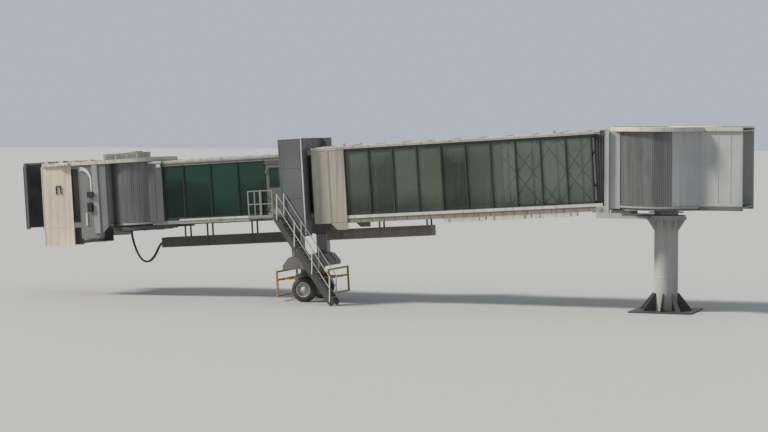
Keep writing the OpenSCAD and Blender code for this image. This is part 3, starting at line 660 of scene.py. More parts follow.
def coated_fabric(name, colour):
    """Woven polyester with a rubbery coat, chalky in patches."""
    finish = Finish(name)
    dust = finish.patches(1.6, 6.0, 0.4, 0.75)
    chalky = tuple(0.75 * c + 0.05 for c in colour)
    finish.set("Base Color", finish.mixed(colour, chalky, dust))
    finish.set("Roughness", finish.patches(4.0, 3.0, 0.3, 0.7, 0.6, 0.78))
    weave = finish.joined(finish.noise(260.0, 1.0), finish.noise(22.0, 3.0), "ADD")
    finish.set("Normal", finish.bump(weave, 0.3, 0.002))
    finish.set("Sheen Weight", 0.15)
    return finish.material


bellows_black = coated_fabric("coated fabric", (0.035, 0.037, 0.038))
sleeve_top = reach("rotunda_bellows", upright)[1].z
gate_face = -2.0805
tunnel_face = -0.1235
sleeve_half = 1.195
sleeve_corner = 0.12
sleeve_folds = 4
sleeve_depth = 0.045
gate_arch = (sleeve_half, floor_high.z + 0.024, sleeve_top - 0.004, sleeve_corner)
tunnel_arch = (sleeve_half, 0.172, 2.845, sleeve_corner)
sleeve_ends = ((gate_face, 0, 5.4), tuple(tunnel @ Vector((tunnel_face, 0, 1.5))))
sleeve = bellows("rotunda_bellows_sleeve", arch_at(gate_face, gate_arch),
                 arch_at(tunnel_face, tunnel_arch, tunnel), sleeve_folds, sleeve_depth, 64, bellows_black,
                 ("swing", "outer_tunnel", *sleeve_ends), upright)
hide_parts("rotunda_bellows")

# Outer tunnel floor and roof
# The larger tunnel hangs on the pins. Folded edge beams carry the deck and the cross bearers, all painted
# tan, with a white edge strip. The roof is one run of white sheet with seams, a folded fascia and a drip.
tan_paint = painted("tan floor paint", (0.30, 0.27, 0.215), 0.45, 0.55, rust=0.25)
edge_white = painted("white edge paint", (0.60, 0.585, 0.55), 0.4, 0.35)
clad(tan_paint, "outer_floor")
clad(roof_white, "outer_roof")

outer_deck_low, outer_deck_high = reach("outer_floor", tunnel)
outer_roof_low, outer_roof_high = reach("outer_roof", tunnel)
outer_front = outer_deck_low.x
outer_rear = outer_deck_high.x
outer_half = outer_deck_high.y
deck_top = outer_deck_high.z
edge_foot = deck_top - 0.21
outer_ceiling = outer_roof_low.z
outer_eave = outer_roof_high.y
eave_top = outer_ceiling + 0.10

edge_strip = bmesh.new()
strip_x = (outer_front + 0.70, outer_rear - 0.01)
for side in (-1, 1):
    block(edge_strip, strip_x, on_wall(side, outer_half, 0.012), (deck_top - 0.035, deck_top + 0.075), 0.003)
    block(edge_strip, strip_x, on_wall(side, outer_half, 0.03), (deck_top - 0.045, deck_top - 0.034), 0.002)
piece("outer_edge_strip", edge_strip, tunnel, edge_white, "outer_tunnel")

edge_lip = bmesh.new()
rib_pitch = 0.485
rib_count = 22
rib_z = (edge_foot, deck_top - 0.05)
for side in (-1, 1):
    block(edge_lip, (outer_front + 0.70, outer_rear - 0.21), on_wall(side, outer_half, 0.002, 0.07),
          (edge_foot - 0.009, edge_foot + 0.001), 0.002)
    for x in pitched(outer_front + 0.95, rib_pitch, rib_count):
        block(edge_lip, about(x, 0.006), on_wall(side, outer_half, 0.018, 0.001), rib_z, 0.002)
piece("outer_edge_ribs", edge_lip, tunnel, tan_paint, "outer_tunnel")

roof_trim = bmesh.new()
fascia_x = (outer_front - 0.018, outer_rear + 0.038)
fascia_z = (outer_ceiling + 0.045, eave_top + 0.012)
drip_z = (outer_ceiling - 0.004, outer_ceiling + 0.02)
roof_rise = 0.04
roof_tilt = Matrix.Rotation(-math.atan2(roof_rise, outer_eave), 4, "X")
roof_fall = Matrix.Translation((0, 0, eave_top + roof_rise)) @ roof_tilt
seam_pitch = 1.06
for side in (-1, 1):
    block(roof_trim, fascia_x, on_wall(side, outer_eave, 0.014), fascia_z, 0.004)
    block(roof_trim, fascia_x, on_wall(side, outer_eave, 0.008), drip_z, 0.003)
    for x in pitched(outer_front + 0.55, seam_pitch, 11):
        turned_block(roof_trim, Matrix.Scale(side, 4, (0, 1, 0)) @ roof_fall, about(x, 0.014),
                     (0, outer_eave - 0.01), (-0.004, 0.028), 0.005)
ridge_x = (outer_front - 0.015, outer_rear + 0.035)
block(roof_trim, ridge_x, about(0, 0.05), (eave_top + 0.036, eave_top + 0.056), 0.006)
piece("outer_roof_seams", roof_trim, tunnel, roof_white, "outer_tunnel")

lifting_eyes = bmesh.new()
pad_z = (eave_top + 0.008, eave_top + 0.022)
lug_z = (eave_top + 0.02, eave_top + 0.12)
for x in (outer_front + 1.3, outer_front + 9.9):
    for y in (-0.95, 0.95):
        block(lifting_eyes, about(x, 0.08), about(y, 0.09), pad_z, 0.003)
        block(lifting_eyes, about(x, 0.05), about(y, 0.01), lug_z, 0.012)
piece("outer_lifting_eyes", lifting_eyes, tunnel, zinc, "outer_tunnel")

# Outer tunnel glazing
# Large panes of grey-green glass stand in posts one metre apart, held from outside by screwed caps over
# black gaskets. Flat crossed braces behind the glass stiffen each side.
frame_green = painted("dark green frame paint", (0.045, 0.06, 0.048), 0.42, 0.3)
clad(frame_green, "outer_frame_left", "outer_frame_right")


def tinted_glass(name, colour, clearness, cloud, dust=0.6, bays=None):
    """Tinted laminated glass with rain runs and a thin film of dust. Bays are a frame, the first post, the
    width of a bay, the glass's foot and head and the depth of a band of painted sky reflection under the
    head: each pane then gets its own depth of tint, is darker at its foot and lighter in that band."""
    finish = Finish(name)
    film = finish.patches(0.5, 5.0, 0.35, 0.7)
    runs = finish.patches(1.0, 5.0, 0.5, 0.8, 0.0, 0.8 * dust, finish.stretched((8.0, 8.0, 0.35)))
    tone = finish.mixed(colour, cloud, finish.joined(film, dust))
    if bays:
        place, first, width, foot, head, band = bays
        along_wall = finish.joined(finish.measured(place, (1, 0, 0)), -first, "ADD")
        bay_count = finish.joined(finish.joined(along_wall, width, "DIVIDE"), 0.0, "FLOOR")
        chance = finish.nodes.new("ShaderNodeTexWhiteNoise")
        chance.noise_dimensions = "1D"
        finish.links.new(bay_count, chance.inputs["W"])
        drawn = chance.outputs["Value"]
        tone = finish.mixed(tone, cloud, finish.fitted(drawn, 0.35, 1.0, 0.0, 0.85))
        tone = finish.mixed(tone, darker(colour, 0.5), finish.fitted(drawn, 0.0, 0.3, 0.6, 0.0))
        wander = finish.patches(0.7, 4.0, 0.3, 0.7, -0.35, 0.35)
        climb = finish.joined(finish.measured(place, (0, 0, 1)), wander, "ADD")
        tone = finish.mixed(tone, darker(colour, 0.45), finish.fitted(climb, foot, foot + 0.9, 0.7, 0.0))
        # Painted reflection: a lighter band under the head of each pane stands for the sky reflected in the
        # glass.
        tone = finish.mixed(tone, cloud, finish.fitted(climb, head - band, head - band + 0.4, 0.0, 0.75))
    finish.set("Base Color", finish.mixed(tone, cloud, runs))
    finish.set("Roughness", finish.fitted(film, 0.0, 1.0, 0.05, 0.13))
    finish.set("Specular IOR Level", 0.36)
    finish.set("Alpha", clearness)
    finish.set("Normal", finish.bump(finish.noise(0.9, 1.0), 0.05, 0.03))
    return finish.material


gasket_black = rubber("gasket rubber", (0.022, 0.023, 0.022), 0.5, 140.0)
glass_low, glass_high = reach("outer_glass", tunnel)
outer_bays = round(glass_high.x - glass_low.x)
outer_bay = (glass_high.x - glass_low.x + 0.03) / outer_bays
outer_posts = pitched(glass_low.x - 0.025, outer_bay, outer_bays + 1)
# The outer panes get a 0.55 m band of painted sky reflection under their head.
clad(tinted_glass("grey-green glass", (0.07, 0.10, 0.075), 0.5, (0.19, 0.225, 0.175),
                  bays=(tunnel, outer_posts[0], outer_bay, glass_low.z, glass_high.z, 0.55)), "outer_glass")


def spaced(start, end, count):
    """Places spread evenly from start to end."""
    return pitched(start, (end - start) / (count - 1), count)


def glazing(prefix, posts, wall, panes, cap_half, finish, body, sides=(-1, 1)):
    """Caps over the posts and rails of a glazed wall, their screws, and the gasket round each pane."""
    caps, gaskets = bmesh.new(), bmesh.new()
    low, high = panes[0].z, panes[1].z
    for side in sides:
        on_pane = on_wall(side, panes[1].y, 0.009)
        for x in posts:
            block(caps, about(x, cap_half), on_wall(side, wall, 0.014), (low - 0.03, high + 0.03), 0.004)
        studs(caps, side, wall, posts, spaced(low + 0.08, high - 0.08, 6), 0.012, 0.018, 0.008)
        for a, b in zip(posts, posts[1:]):
            left, right = a + cap_half, b - cap_half
            for z in ((low, low + 0.014), (high - 0.014, high)):
                block(gaskets, (left - 0.004, right + 0.004), on_pane, z)
            for x in ((left - 0.004, left + 0.012), (right - 0.012, right + 0.004)):
                block(gaskets, x, on_pane, (low, high))
    piece(f"{prefix}_caps", caps, tunnel, finish, body)
    piece(f"{prefix}_gaskets", gaskets, tunnel, gasket_black, body)


outer_cap_half = 0.027
glazing("outer_glazing", outer_posts, outer_half, (glass_low, glass_high), outer_cap_half, frame_green,
        "outer_tunnel")

# Outer tunnel end panels
# The front end is closed at each side by two cream panels of folded sheet, the second one with its lower
# corner cut back. They are riveted round their edges to posts behind them.
cream_worn = painted("weathered cream paint", (0.45, 0.405, 0.345), 0.42, 0.45)
clad(cream_worn, "outer_portal")
panel_high = reach("outer_portal", tunnel)[1]
panel_face = panel_high.y
panel_split = outer_front + 0.686
panel_gap = 0.004
panel_top = outer_ceiling - 0.002
fold_half = 0.018
rivet_count = 13
front_x = (outer_front - 0.004, outer_front + 0.03)
folds = bmesh.new()
rivets = bmesh.new()
for side in (-1, 1):
    for x1, x2, foot in ((outer_front, panel_split - panel_gap, deck_top - 0.21),
                         (panel_split + panel_gap, panel_high.x, deck_top - 0.18)):
        fold_lines = (x1 + fold_half, x2 - fold_half)
        for x in fold_lines:
            block(folds, about(x, fold_half), on_wall(side, panel_face, 0.016), (foot + 0.002, panel_top),
                  0.005)
        for z in (foot + 0.02, outer_ceiling - 0.02):
            block(folds, (x1 + 0.03, x2 - 0.03), on_wall(side, panel_face, 0.013), about(z, fold_half), 0.004)
        rivet_lines = spaced(foot + 0.12, outer_ceiling - 0.12, rivet_count)
        studs(rivets, side, panel_face, fold_lines, rivet_lines, 0.014, 0.02, 0.009, 8, 0.6)
    block(folds, front_x, (side * (outer_half - 0.12), side * (panel_face + 0.012)),
          (deck_top + 0.002, panel_top), 0.005)
    for x in (panel_split + 0.34, panel_split + 0.62):
        block(folds, about(x, 0.02), on_wall(side, panel_face, 0.006, 0.03),
              (deck_top - 0.46, deck_top - 0.2), 0.004)
piece("end_panel_folds", folds, tunnel, cream_worn, "outer_tunnel")
piece("end_panel_rivets", rivets, tunnel, cream_worn, "outer_tunnel")

# Outer tunnel underside
# Below the deck run the trough for the trailing cables, three steel pipes on saddles under the bearers and,
# on the door side, three cream trays with folded lids on straps from the edge beam.
trough_grey = painted("trough paint", (0.225, 0.2, 0.165), 0.45, 0.5, rust=0.2)
clad(trough_grey, "outer_trough")
trough_low, trough_high = reach("outer_trough", tunnel)
pipes = bmesh.new()
pipe_front = outer_front + 0.75
pipe_seat = deck_top - 0.17
for y, radius in ((-0.62, 0.028), (-0.54, 0.02), (0.60, 0.028)):
    pipe_z = pipe_seat - radius
    saddle_z = (pipe_z - radius - 0.006, pipe_seat)
    rod(pipes, (pipe_front, y, pipe_z), (outer_rear - 0.55, y, pipe_z), radius, 12)
    for x in pitched(-0.28, -1.0, 11):
        if x - 0.03 > pipe_front:
            block(pipes, about(x, 0.02), about(y, radius + 0.012), saddle_z, 0.003)
piece("outer_conduits", pipes, tunnel, zinc, "outer_tunnel")

trough_trim = bmesh.new()
for side in (-1, 1):
    block(trough_trim, (trough_low.x - 0.004, trough_high.x + 0.004), (side * 0.247, side * 0.268),
          (trough_high.z - 0.43, trough_high.z - 0.415), 0.003)
piece("outer_trough_trim", trough_trim, tunnel, trough_grey, "outer_tunnel")

trays = bmesh.new()
tray_straps = bmesh.new()
tray_length = 1.72
tray_gap = 0.10
tray_face = -outer_half - 0.02
tray_back = tray_face + 0.21
lid_lap = 0.008
strap_half = 0.022
strap_foot = edge_foot - 0.162
strap_y = (tray_face - 0.013, tray_back + 0.012)
for x1 in pitched(-6.28, tray_length + tray_gap, 3):
    x2 = x1 + tray_length
    block(trays, (x1, x2), (tray_face, tray_back), (edge_foot - 0.155, edge_foot - 0.022), 0.008)
    block(trays, (x1 - lid_lap, x2 + lid_lap), (tray_face - lid_lap, tray_back + lid_lap),
          (edge_foot - 0.045, edge_foot - 0.018), 0.005)
    for x in (x1 + 0.25, x2 - 0.25):
        strap_x = about(x, strap_half)
        block(tray_straps, strap_x, strap_y, (strap_foot, strap_foot + 0.008), 0.002)
        for y in (strap_y[0], strap_y[1] - 0.006):
            block(tray_straps, strap_x, (y, y + 0.006), (strap_foot, edge_foot + 0.002), 0.002)
tray_cream = painted("cream tray paint", (0.66, 0.61, 0.53), 0.4, 0.35)
piece("service_trays", trays, tunnel, tray_cream, "outer_tunnel")
piece("service_tray_straps", tray_straps, tunnel, zinc, "outer_tunnel")

# Inner tunnel
# The slimmer tunnel slides out of the larger one on rollers. It has a grey floor beam, dark green glass
# between dark posts, a white roof tray with seams, and a dark trough for the trailing cables below.
floor_grey = painted("grey floor beam paint", (0.30, 0.30, 0.295), 0.42, 0.45, rust=0.15)
post_dark = painted("dark post paint", (0.015, 0.029, 0.025), 0.46, 0.15)
trough_dark = painted("dark trough paint", (0.078, 0.066, 0.05), 0.5, 0.5, rust=0.4)
clad(floor_grey, "inner_floor")
clad(post_dark, "inner_frame_left", "inner_frame_right")
clad(roof_white, "inner_roof")
clad(trough_dark, "inner_trough")

inner_panes = reach("inner_glass", tunnel)
inner_roof_low, inner_roof_high = reach("inner_roof", tunnel)
door_low, door_high = reach("service_door", tunnel)
inner_front = inner_roof_low.x
inner_half = inner_roof_high.y
inner_deck = reach("inner_floor", tunnel)[1].z
inner_eave = inner_roof_high.z
glass_foot = inner_panes[0].z
glass_head = inner_panes[1].z
bay = 1.2
door_post = door_low.x - 0.032
landing_post = door_high.x + 0.032
cab_posts = [inner_front + 0.03] + pitched(door_post - 3 * bay, bay, 4)
# The inner panes get a 0.95 m band of painted sky reflection under their head.
inner_glass_finish = tinted_glass("dark green glass", (0.002, 0.014, 0.012), 0.9, (0.017, 0.064, 0.048), 0.2,
                                  (tunnel, door_post - 8 * bay, bay, glass_foot, glass_head, 0.95))
clad(inner_glass_finish, "inner_glass")

inner_cap_half = 0.024
for name, posts, sides in (("front", cab_posts, (-1, 1)), ("door_bay", [door_post, landing_post], (1,)),
                           ("rear", pitched(landing_post, bay, 4), (-1, 1))):
    glazing(f"inner_glazing_{name}", posts, inner_half, inner_panes, inner_cap_half, post_dark,
            "inner_tunnel", sides)

inner_trim = bmesh.new()
visible_tail = -12.4
trim_front = inner_front + 0.005
inner_seam_z = (inner_eave - 0.004, inner_eave + 0.022)
for side in (-1, 1):
    block(inner_trim, (trim_front, visible_tail), on_wall(side, inner_half, 0.02),
          (inner_eave - 0.075, inner_eave + 0.008), 0.005)
    for z1, z2 in ((inner_eave - 0.118, inner_eave - 0.1), (glass_head + 0.004, glass_head + 0.018)):
        trim_end = visible_tail if z1 > 2.4 or side > 0 else door_post - 0.03
        block(inner_trim, (trim_front, trim_end), on_wall(side, inner_half, 0.012), (z1, z2), 0.003)
for x in pitched(inner_front + 0.5, 0.8, 17):
    block(inner_trim, about(x, 0.012), about(0, inner_half - 0.02), inner_seam_z, 0.004)
piece("inner_roof_seams", inner_trim, tunnel, roof_white, "inner_tunnel")

rails = bmesh.new()
rail_top = inner_eave - 0.122
door_spans = [(inner_front + 0.006, door_post - 0.03), (landing_post + 0.03, visible_tail)]
for side, spans in ((1, [(inner_front + 0.006, visible_tail)]), (-1, door_spans)):
    for span in spans:
        block(rails, span, on_wall(side, inner_half, 0.01), (glass_head + 0.012, rail_top), 0.003)
block(rails, (door_post - 0.028, landing_post + 0.028), on_wall(-1, inner_half, 0.01),
      (door_high.z + 0.012, rail_top), 0.003)
rail_grey = painted("rail cover paint", (0.11, 0.12, 0.11), 0.42, 0.35)
piece("inner_rail_covers", rails, tunnel, rail_grey, "inner_tunnel")

inner_edge = bmesh.new()
edge_front = inner_front + 0.65
edge_z = (inner_deck - 0.03, inner_deck + 0.055)
edge_drip_z = (inner_deck - 0.142, inner_deck - 0.127)
door_spans = [(edge_front, door_post - 0.27), (landing_post + 0.06, visible_tail)]
for side, spans in ((-1, door_spans), (1, [(edge_front, visible_tail)])):
    for span in spans:
        block(inner_edge, span, on_wall(side, inner_half, 0.014), edge_z, 0.004)
        block(inner_edge, span, on_wall(side, inner_half, 0.02), edge_drip_z, 0.003)
piece("inner_edge_strip", inner_edge, tunnel, edge_white, "inner_tunnel")

under = bmesh.new()
conduit_ends = (inner_front + 0.1, -13.1)
conduit_seat = inner_deck - 0.145
for y, radius in ((-0.50, 0.024), (-0.43, 0.018), (0.52, 0.024)):
    start, end = (Vector((x, y, conduit_seat - radius)) for x in conduit_ends)
    rod(under, start, end, radius, 10)
for x in pitched(inner_front + 0.6, 0.98, 6):
    for saddle_y in ((-0.54, -0.40), (0.48, 0.56)):
        block(under, about(x, 0.02), saddle_y, (inner_deck - 0.20, inner_deck - 0.12), 0.004)
piece("inner_conduits", under, tunnel, trough_dark, "inner_tunnel")

# Drum
# The round joint between tunnel and cab. A painted end frame closes the tunnel, its cheeks follow the
# drum, and slat curtains run from there to the cab over a round steel turntable with a ring of bolts.
head_grey = painted("drum frame paint", (0.13, 0.13, 0.128), 0.42, 0.35)
clad(head_grey, "head_frame")
drum_low, drum_high = reach("cab_curtains", cab)
drum_radius = 1.3025
drum_middle = 1.5
drum_start = 53
drum_sweep = 86
drum_holds = (56, 137)
drum_pitch = 0.08
for side, name in ((1, "left"), (-1, "right")):
    tunnel_end, cab_end = (tuple(round_point(cab, side * degrees, drum_radius, drum_middle))
                           for degrees in drum_holds)
    curtain = slat_curtain(f"drum_curtain_{name}", drum_radius, side * drum_start, side * drum_sweep,
                           drum_low.z + 0.004, drum_high.z - 0.003, drum_pitch, cab,
                           ("inner_tunnel", "cab", tunnel_end, cab_end))
    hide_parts("cab_curtains")

head_low, head_high = reach("head_frame", tunnel)
head_x, cheek_face, head_top = head_high
head_foot = head_low.z
cheek_strip = 0.025
cheeks = bmesh.new()
corners = bmesh.new()
for side in (-1, 1):
    for x in (head_x - 0.03, head_x - 0.36):
        block(cheeks, about(x, cheek_strip), on_wall(side, cheek_face, 0.012),
              (head_foot + 0.01, head_top - 0.01), 0.004)
    for z in (head_foot + 0.03, head_top - 0.04):
        block(cheeks, (head_x - 0.62, head_x - 0.005), on_wall(side, cheek_face, 0.016),
              about(z, cheek_strip), 0.004)
    studs(cheeks, side, cheek_face, [head_x - 0.03], pitched(head_foot + 0.2, 0.27, 9), 0.01, 0.019, 0.012)
    block(corners, (head_x - 0.60, head_x + 0.006), on_wall(side, cheek_face, 0.024),
          (head_top - 0.10, head_top - 0.012), 0.006)
    block(corners, (head_x - 0.24, head_x - 0.05), on_wall(side, cheek_face, 0.02),
          (head_top - 0.27, head_top - 0.13), 0.006)
    studs(corners, side, cheek_face, pitched(head_x - 0.55, 0.23, 3), [head_top - 0.056], 0.022, 0.032, 0.011)
head_cap_z = (head_top - 0.004, head_top + 0.016)
block(cheeks, (head_x - 0.35, head_x + 0.01), about(0, cheek_face), head_cap_z, 0.005)
piece("drum_cheek_trim", cheeks, tunnel, head_grey, "inner_tunnel")
piece("drum_cheek_corners", corners, tunnel, edge_white, "inner_tunnel")

table_foot = reach("drum_base", cab)[0].z
table_radius = 1.25
table_bolt_count = 28
cheek_reach = 0.66
underside = bmesh.new()
for at in around(table_bolt_count, table_radius, table_foot + 0.045, 6):
    out = Vector((at.x, at.y, 0)).normalized()
    if abs(at.y) < cheek_reach or at.x < 0:
        rod(underside, at - 0.004 * out, at + 0.014 * out, 0.014, 6)
hoop(underside, (table_radius - 0.06, table_radius + 0.012), (table_foot - 0.014, table_foot + 0.004),
     steps=96)
for at in around(8, 0.62, table_foot - 0.03, 22.5):
    turn = Matrix.Translation(at) @ Matrix.Rotation(math.atan2(at.y, at.x), 4, "Z")
    bmesh.ops.create_cube(underside, size=1.0, matrix=turn @ Matrix.Diagonal((1.0, 0.03, 0.066, 1)))
hoop(underside, (0.0001, 0.16), (table_foot - 0.07, table_foot + 0.002), steps=32)
piece("turntable_underside", underside, cab, steel_dark, "inner_tunnel")

# Lift portal
# Two tall housings of folded sheet stand at the tunnel's sides and hold the lift screws. A box beam over
# the roof joins them. Bolted covers, corner angles and a cap close each housing.
# Painted shade: the housings are light grey, and this dark bluish grey stands for the shadow cast over their
# fronts.
portal_shade_paint = painted("portal paint with painted shade", (0.15, 0.154, 0.163), 0.42, 0.35)
clad(portal_shade_paint, "lift_portal")
portal_low, portal_high = reach("lift_portal", lift)
housing_half, housing_out, portal_top = portal_high
portal_foot = portal_low.z
covers = bmesh.new()
portal_edges = bmesh.new()
cover_bolts = bmesh.new()
corner_z = (portal_foot + 0.004, portal_top - 0.004)
side_cover_z = (portal_foot + 0.1, portal_top - 0.12)
cap_z = (portal_top - 0.016, portal_top + 0.02)
foot_band_z = (portal_foot - 0.002, portal_foot + 0.05)
beam_seam_z = (portal_top - 0.004, portal_top + 0.014)
cover_levels = ((portal_foot + 0.10, 0.95), (1.0, 2.15), (2.2, portal_top - 0.1))
bolt_pitch = 0.28
for side in (-1, 1):
    for shape, x in ((covers, -housing_half + 0.025), (portal_edges, housing_half - 0.025)):
        block(shape, about(x, 0.027), on_wall(side, housing_out, 0.01, 0.03), corner_z, 0.004)
    for z1, z2 in cover_levels:
        block(covers, about(0, housing_half - 0.085), on_wall(side, housing_out, 0.009), (z1, z2), 0.004)
        rows = max(2, round((z2 - z1) / bolt_pitch))
        studs(cover_bolts, side, housing_out, about(0, housing_half - 0.115),
              spaced(z1 + 0.04, z2 - 0.04, rows + 1), 0.008, 0.016, 0.011)
    for end in (-1, 1):
        block(covers, on_wall(end, housing_half, 0.008),
              (side * (inner_half + 0.06), side * (housing_out - 0.06)), side_cover_z, 0.003)
    block(portal_edges, about(0, housing_half + 0.02),
          (side * (inner_half + 0.002), side * (housing_out + 0.02)), cap_z, 0.006)
    block(covers, about(0, housing_half + 0.012),
          (side * (inner_half + 0.31), side * (housing_out + 0.012)), foot_band_z, 0.004)
for x in (-0.29, 0.29):
    block(covers, about(x, 0.02), about(0, inner_half - 0.004), beam_seam_z, 0.004)
beam_cover_z = (portal_top - 0.44, portal_top - 0.05)
for x in (-0.30, 0.30):
    for y in pitched(-0.78, 0.52, 4):
        block(covers, about(x, 0.008), about(y, 0.225), beam_cover_z, 0.004)
piece("portal_covers", covers, lift, portal_shade_paint, "inner_tunnel")
piece("portal_edges", portal_edges, lift, edge_white, "inner_tunnel")
piece("portal_cover_bolts", cover_bolts, lift, zinc, "inner_tunnel")

# Service landing
# A small steel landing outside the service door, carried on brackets from the floor beam. It is decked
# with galvanised bar grating and fenced with galvanised pipe rails on bolted feet.
grating = painted("galvanised grating", (0.23, 0.235, 0.23), 0.45, 0.45)
rail_white = painted("white rail paint", (0.62, 0.61, 0.58), 0.4, 0.3, waves=0.0)
rail_worn = painted("galvanised rails", (0.33, 0.325, 0.30), 0.45, 0.45, waves=0.0)
clad(grating, "service_landing")
clad(rail_worn, "landing_rails")
landing_low, landing_high = reach("service_landing", tunnel)
landing_top = landing_high.z
landing_x = (landing_low.x + 0.01, landing_post + 0.06)
bar_foot = landing_top - 0.002
bar_count = 31
bar_pitch = 0.04
cross_bar_count = 6
cross_bar_pitch = 0.225
bars = bmesh.new()
for y in pitched(-1.10, -bar_pitch, bar_count):
    block(bars, landing_x, about(y, 0.004), (bar_foot, landing_top + 0.016))
for x in pitched(landing_x[0] + 0.03, cross_bar_pitch, cross_bar_count):
    block(bars, about(x, 0.005), (-2.34, -1.09), (bar_foot, landing_top + 0.012))
piece("landing_grating", bars, tunnel, grating, "inner_tunnel")

rail_low, rail_high = reach("landing_rails", tunnel)
rail_feet = bmesh.new()
rail_out = -2.37
rail_start = rail_low.x + 0.02
rail_posts = ((rail_start, -1.09), (rail_start, -1.74), (rail_start, rail_out), (rail_low.x + 0.52, rail_out),
              (rail_high.x - 0.02, rail_out))
foot_half = 0.05
foot_bolt = 0.036
foot_z = (landing_top + 0.0005, landing_top + 0.012)
post_cap = 0.023
post_cap_z = (rail_high.z - 0.012, rail_high.z + 0.006)
for x, y in rail_posts:
    block(rail_feet, about(x, foot_half), about(y, foot_half), foot_z, 0.003)
    for bolt_x in about(x, foot_bolt):
        for bolt_y in about(y, foot_bolt):
            stud(rail_feet, (bolt_x, bolt_y, landing_top + 0.01), (0, 0, 0.012), 0.008)
    block(rail_feet, about(x, post_cap), about(y, post_cap), post_cap_z, 0.004)
piece("landing_rail_feet", rail_feet, tunnel, rail_worn, "inner_tunnel")


# Service door
# A grey-green steel door with a glazed upper half in a rubber seal, a lever handle on a plate and a
# scuffed kick plate. It opens outwards on two barrel hinges.
def surround(shape, wide, tall, depth, half, crosswise=False):
    """Four bars round an opening in a side wall, or in a wall that stands across the bridge."""
    bars_round = [(about(at, half), (tall[0] - half, tall[1] + half)) for at in wide]
    bars_round += [(wide, about(z, half)) for z in tall]
    for run, z in bars_round:
        if crosswise:
            block(shape, depth, run, z, 0.003)
        else:
            block(shape, run, depth, z, 0.003)


door_green = painted("service door paint", (0.16, 0.185, 0.155), 0.42, 0.4)
clad(door_green, "service_door")
leaf_face = 0.005 - inner_half
pane_inset = 0.168
pane_x = (door_low.x + pane_inset, door_high.x - pane_inset)
pane_z = (inner_deck + 1.15, 2.27)
door_seal_half = 0.02
door_seal = bmesh.new()
surround(door_seal, pane_x, pane_z, (leaf_face - 0.008, leaf_face + 0.048), door_seal_half)
piece("service_door_seal", door_seal, tunnel, gasket_black, "service_door")
door_pane = bmesh.new()
block(door_pane, pane_x, (leaf_face + 0.016, leaf_face + 0.022), pane_z)
piece("service_door_pane", door_pane, tunnel, inner_glass_finish, "service_door")
fittings = bmesh.new()
lock_x = door_high.x - 0.075
lever_z = inner_deck + 1.06
lever_y = leaf_face - 0.048
block(fittings, about(lock_x, 0.025), (leaf_face - 0.007, leaf_face + 0.001),
      (inner_deck + 0.94, inner_deck + 1.12), 0.003)
stud(fittings, (lock_x, leaf_face - 0.004, lever_z), (0, -0.046, 0), 0.012, 12)
stud(fittings, (lock_x, lever_y, lever_z), (-0.12, 0, 0), 0.011, 12)
block(fittings, (door_low.x + 0.05, door_high.x - 0.05), (leaf_face - 0.004, leaf_face + 0.001),
      (inner_deck + 0.04, inner_deck + 0.26), 0.002)
piece("service_door_fittings", fittings, tunnel, zinc, "service_door")

# Service stair
# Dark steel strings carry thirteen grating treads and end on two rollers, so that the foot can roll when
# the landing rises and falls. White handrails run up both sides on posts bolted to the strings.
string_paint = painted("stair string paint", (0.085, 0.08, 0.072), 0.5, 0.45, rust=0.45)
clad(string_paint, "service_stair")
clad(rail_white, "stair_handrails")
stair_pin = joint_at("stair_pivot")
tread_count = 13
stair_angle = 55
stair_drop = stair_pin.z
rise = stair_drop / (tread_count + 1)
going = rise / math.tan(math.radians(stair_angle))
tread_lift = 0.08
tread_y = (-2.358, -1.762)
tread_bar = 0.003
treads = bmesh.new()
nosings = bmesh.new()
for count in range(1, tread_count + 1):
    x = stair_pin.x + count * going
    z = stair_drop - count * rise + tread_lift
    for at in pitched(x - 0.105, 0.033, 7):
        block(treads, about(at, tread_bar), tread_y, (z - 0.001, z + 0.010))
    for y in pitched(tread_y[0] + 0.05, 0.0992, 6):
        block(treads, (x - 0.11, x + 0.095), about(y, tread_bar), (z - 0.001, z + 0.007))
    block(nosings, (x + 0.094, x + 0.122), (tread_y[0] + 0.004, tread_y[1] - 0.004), about(z, 0.012), 0.003)
piece("stair_tread_bars", treads, upright, grating, "stair")
piece("stair_nosings", nosings, upright, zinc, "stair")

# Lift columns and carriage
# Square steel columns slide out of the housings and stand bolted on the carriage, a deep box beam
# across the bogie. A rubber wiper closes each housing round its column.
column_paint = painted("lift column paint", (0.34, 0.335, 0.32), 0.35, 0.5)
carriage_paint = painted("carriage paint", (0.20, 0.20, 0.195), 0.45, 0.5, rust=0.35)
clad(column_paint, "lift_columns")
clad(carriage_paint, "carriage")
column_high = reach("lift_columns", lift)[1]
column_x = column_high.x
column_y = column_high.y - 0.18
carriage_high = reach("carriage", lift)[1]
beam_end = carriage_high.y
beam_top = carriage_high.z
beam_foot = -1.80
plate_z = (beam_top + 0.001, beam_top + 0.025)
gusset_z = (beam_top + 0.02, beam_top + 0.16)
wiper_z = (portal_foot - 0.03, portal_foot + 0.002)
feet = bmesh.new()
feet_bolts = bmesh.new()
wipers = bmesh.new()
for side in (-1, 1):
    y = side * column_y
    for end in (-1, 1):
        block(feet, (end * column_x, end * (column_x + 0.07)), about(y, 0.25), plate_z, 0.004)
        block(feet, about(0, column_x), (y + end * 0.18, y + end * 0.25), plate_z, 0.004)
        for step in (-0.13, 0.0, 0.13):
            for at in ((end * (column_x + 0.035), y + step * 1.4), (step, y + end * 0.215)):
                stud(feet_bolts, (*at, beam_top + 0.024), (0, 0, 0.022), 0.017)
        for x in (-0.07, 0.07):
            block(feet, about(x, 0.006), (y + end * 0.178, y + end * 0.235), gusset_z, 0.003)
        block(wipers, (end * (column_x + 0.006), end * (column_x + 0.05)), about(y, 0.235), wiper_z, 0.005)
        block(wipers, about(0, column_x + 0.006), (y + end * 0.186, y + end * 0.235), wiper_z, 0.005)
piece("column_feet", feet, lift, carriage_paint, "lift_carriage")
piece("column_foot_bolts", feet_bolts, lift, zinc, "lift_carriage")
piece("housing_wipers", wipers, lift, rubber_black, "inner_tunnel")

